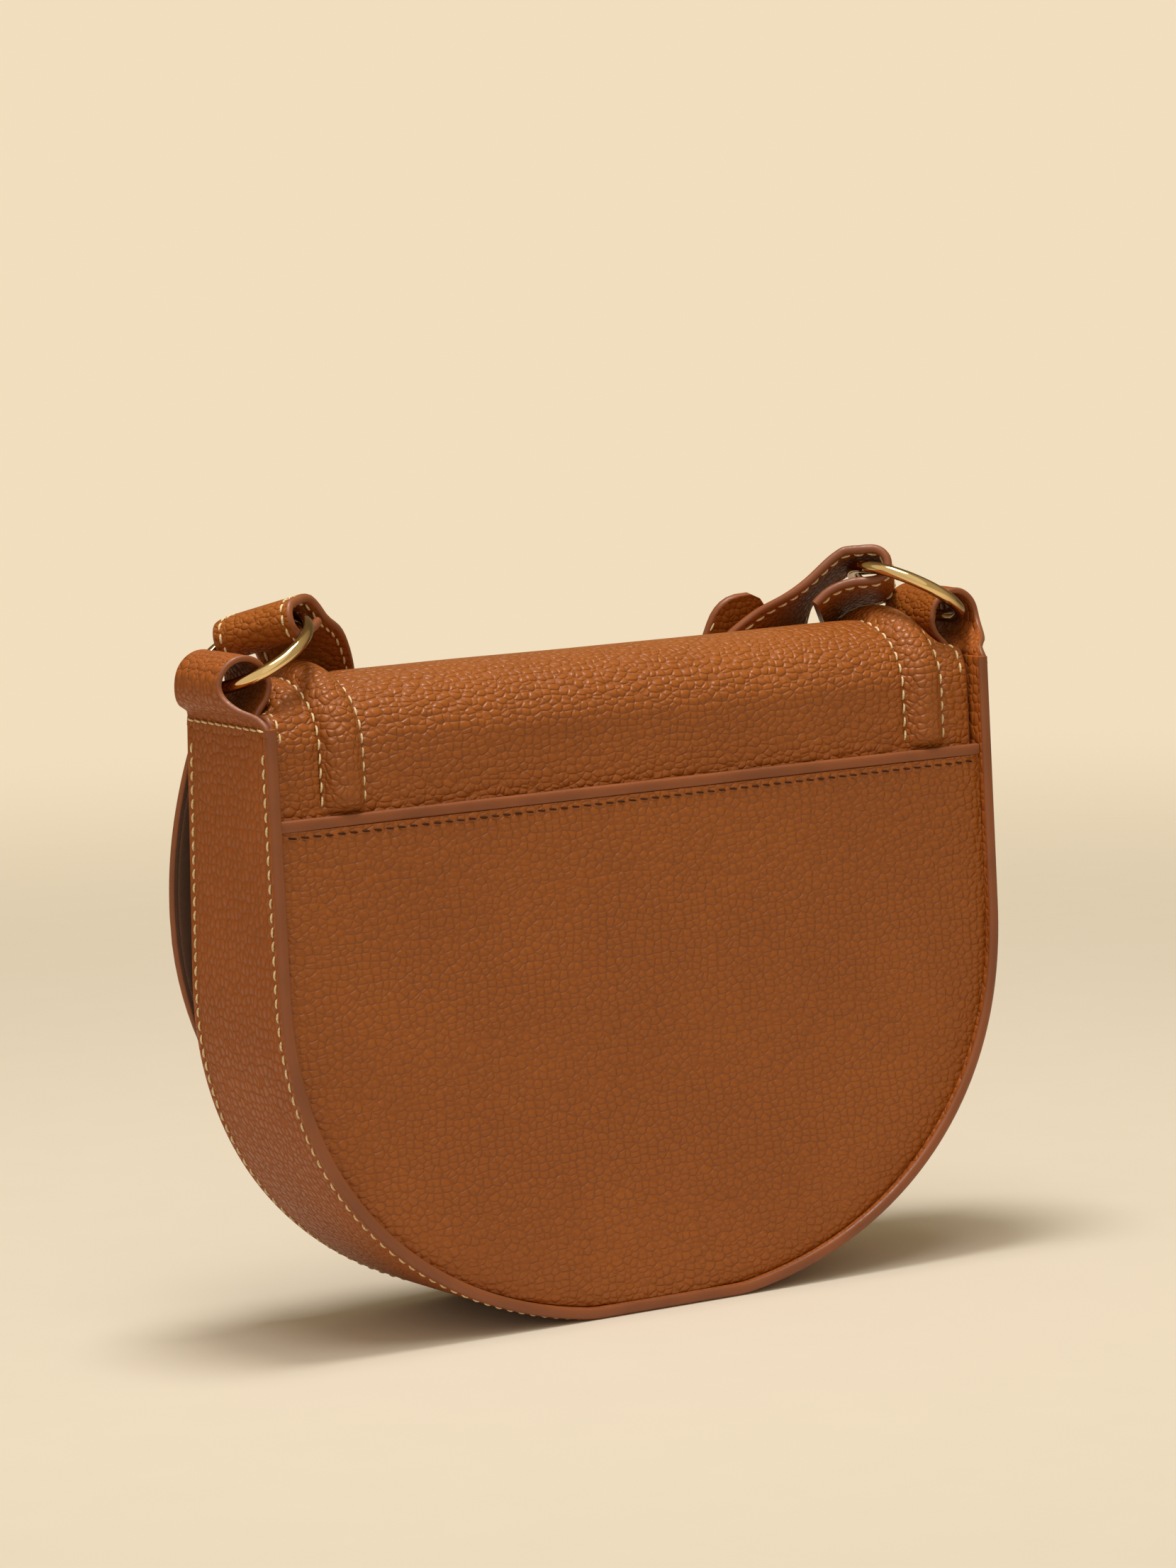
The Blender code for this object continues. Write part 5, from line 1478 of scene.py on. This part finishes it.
class BAG_OT_flap(bpy.types.Operator):
    """Build the wraparound flap with its padded channels and its lining"""
    bl_idname = "bag.flap"
    bl_label = "Flap"

    def execute(self, context):
        build_flap()
        return {"FINISHED"}


class BAG_OT_loops(bpy.types.Operator):
    """Build the two leather loops that hold the rings"""
    bl_idname = "bag.loops"
    bl_label = "Ring Loops"

    def execute(self, context):
        build_loops()
        return {"FINISHED"}


class BAG_OT_rings(bpy.types.Operator):
    """Build the two polished rings"""
    bl_idname = "bag.rings"
    bl_label = "Rings"

    def execute(self, context):
        build_rings()
        return {"FINISHED"}


class BAG_OT_strap(bpy.types.Operator):
    """Build the shoulder strap in its two lengths"""
    bl_idname = "bag.strap"
    bl_label = "Strap"

    def execute(self, context):
        build_strap()
        return {"FINISHED"}


class BAG_OT_buckle(bpy.types.Operator):
    """Build the pin buckle's frame and prong"""
    bl_idname = "bag.buckle"
    bl_label = "Buckle"

    def execute(self, context):
        build_buckle()
        return {"FINISHED"}


class BAG_OT_keeper(bpy.types.Operator):
    """Build the strap's sliding keeper"""
    bl_idname = "bag.keeper"
    bl_label = "Keeper"

    def execute(self, context):
        build_keeper()
        return {"FINISHED"}


class BAG_OT_snap(bpy.types.Operator):
    """Finish the snap's two halves"""
    bl_idname = "bag.snap"
    bl_label = "Snap"

    def execute(self, context):
        build_snap()
        return {"FINISHED"}


class BAG_OT_stitching(bpy.types.Operator):
    """Sew the gusset, the flap and the pocket"""
    bl_idname = "bag.stitching"
    bl_label = "Stitching"

    def execute(self, context):
        build_stitching()
        return {"FINISHED"}


class BAG_OT_stage(bpy.types.Operator):
    """Build the floor, the lights and the camera"""
    bl_idname = "bag.stage"
    bl_label = "Stage"

    def execute(self, context):
        build_stage()
        return {"FINISHED"}


OPERATORS = (BAG_OT_gusset, BAG_OT_panels, BAG_OT_pocket_edge, BAG_OT_flap, BAG_OT_loops, BAG_OT_rings,
             BAG_OT_strap, BAG_OT_buckle, BAG_OT_keeper, BAG_OT_snap, BAG_OT_stitching, BAG_OT_stage)


class BAG_PT_pieces(bpy.types.Panel):
    """Lists the bag's sizes, colours and pieces"""
    bl_idname = "BAG_PT_pieces"
    bl_label = "Half Moon Bag"
    bl_space_type = "VIEW_3D"
    bl_region_type = "UI"
    bl_category = "Bag"

    def draw(self, context):
        column = self.layout.column()
        for group in (context.scene.bag_sizes, context.scene.bag_colours):
            for key in group.bl_rna.properties.keys():
                if key not in ("rna_type", "name"):
                    column.prop(group, key)
        for operator in OPERATORS:
            column.operator(operator.bl_idname)


CLASSES = (BagSizes, BagColours) + OPERATORS + (BAG_PT_pieces,)


def register():
    for item in CLASSES:
        bpy.utils.register_class(item)
    bpy.types.Scene.bag_sizes = PointerProperty(type=BagSizes)
    bpy.types.Scene.bag_colours = PointerProperty(type=BagColours)


def unregister():
    del bpy.types.Scene.bag_colours
    del bpy.types.Scene.bag_sizes
    for item in reversed(CLASSES):
        bpy.utils.unregister_class(item)


def main():
    register()
    bpy.ops.bag.stage()
    bpy.ops.bag.gusset()
    bpy.ops.bag.panels()
    bpy.ops.bag.pocket_edge()
    bpy.ops.bag.flap()
    bpy.ops.bag.loops()
    bpy.ops.bag.rings()
    bpy.ops.bag.strap()
    bpy.ops.bag.buckle()
    bpy.ops.bag.keeper()
    bpy.ops.bag.snap()
    bpy.ops.bag.stitching()


if __name__ == "__main__":
    main()
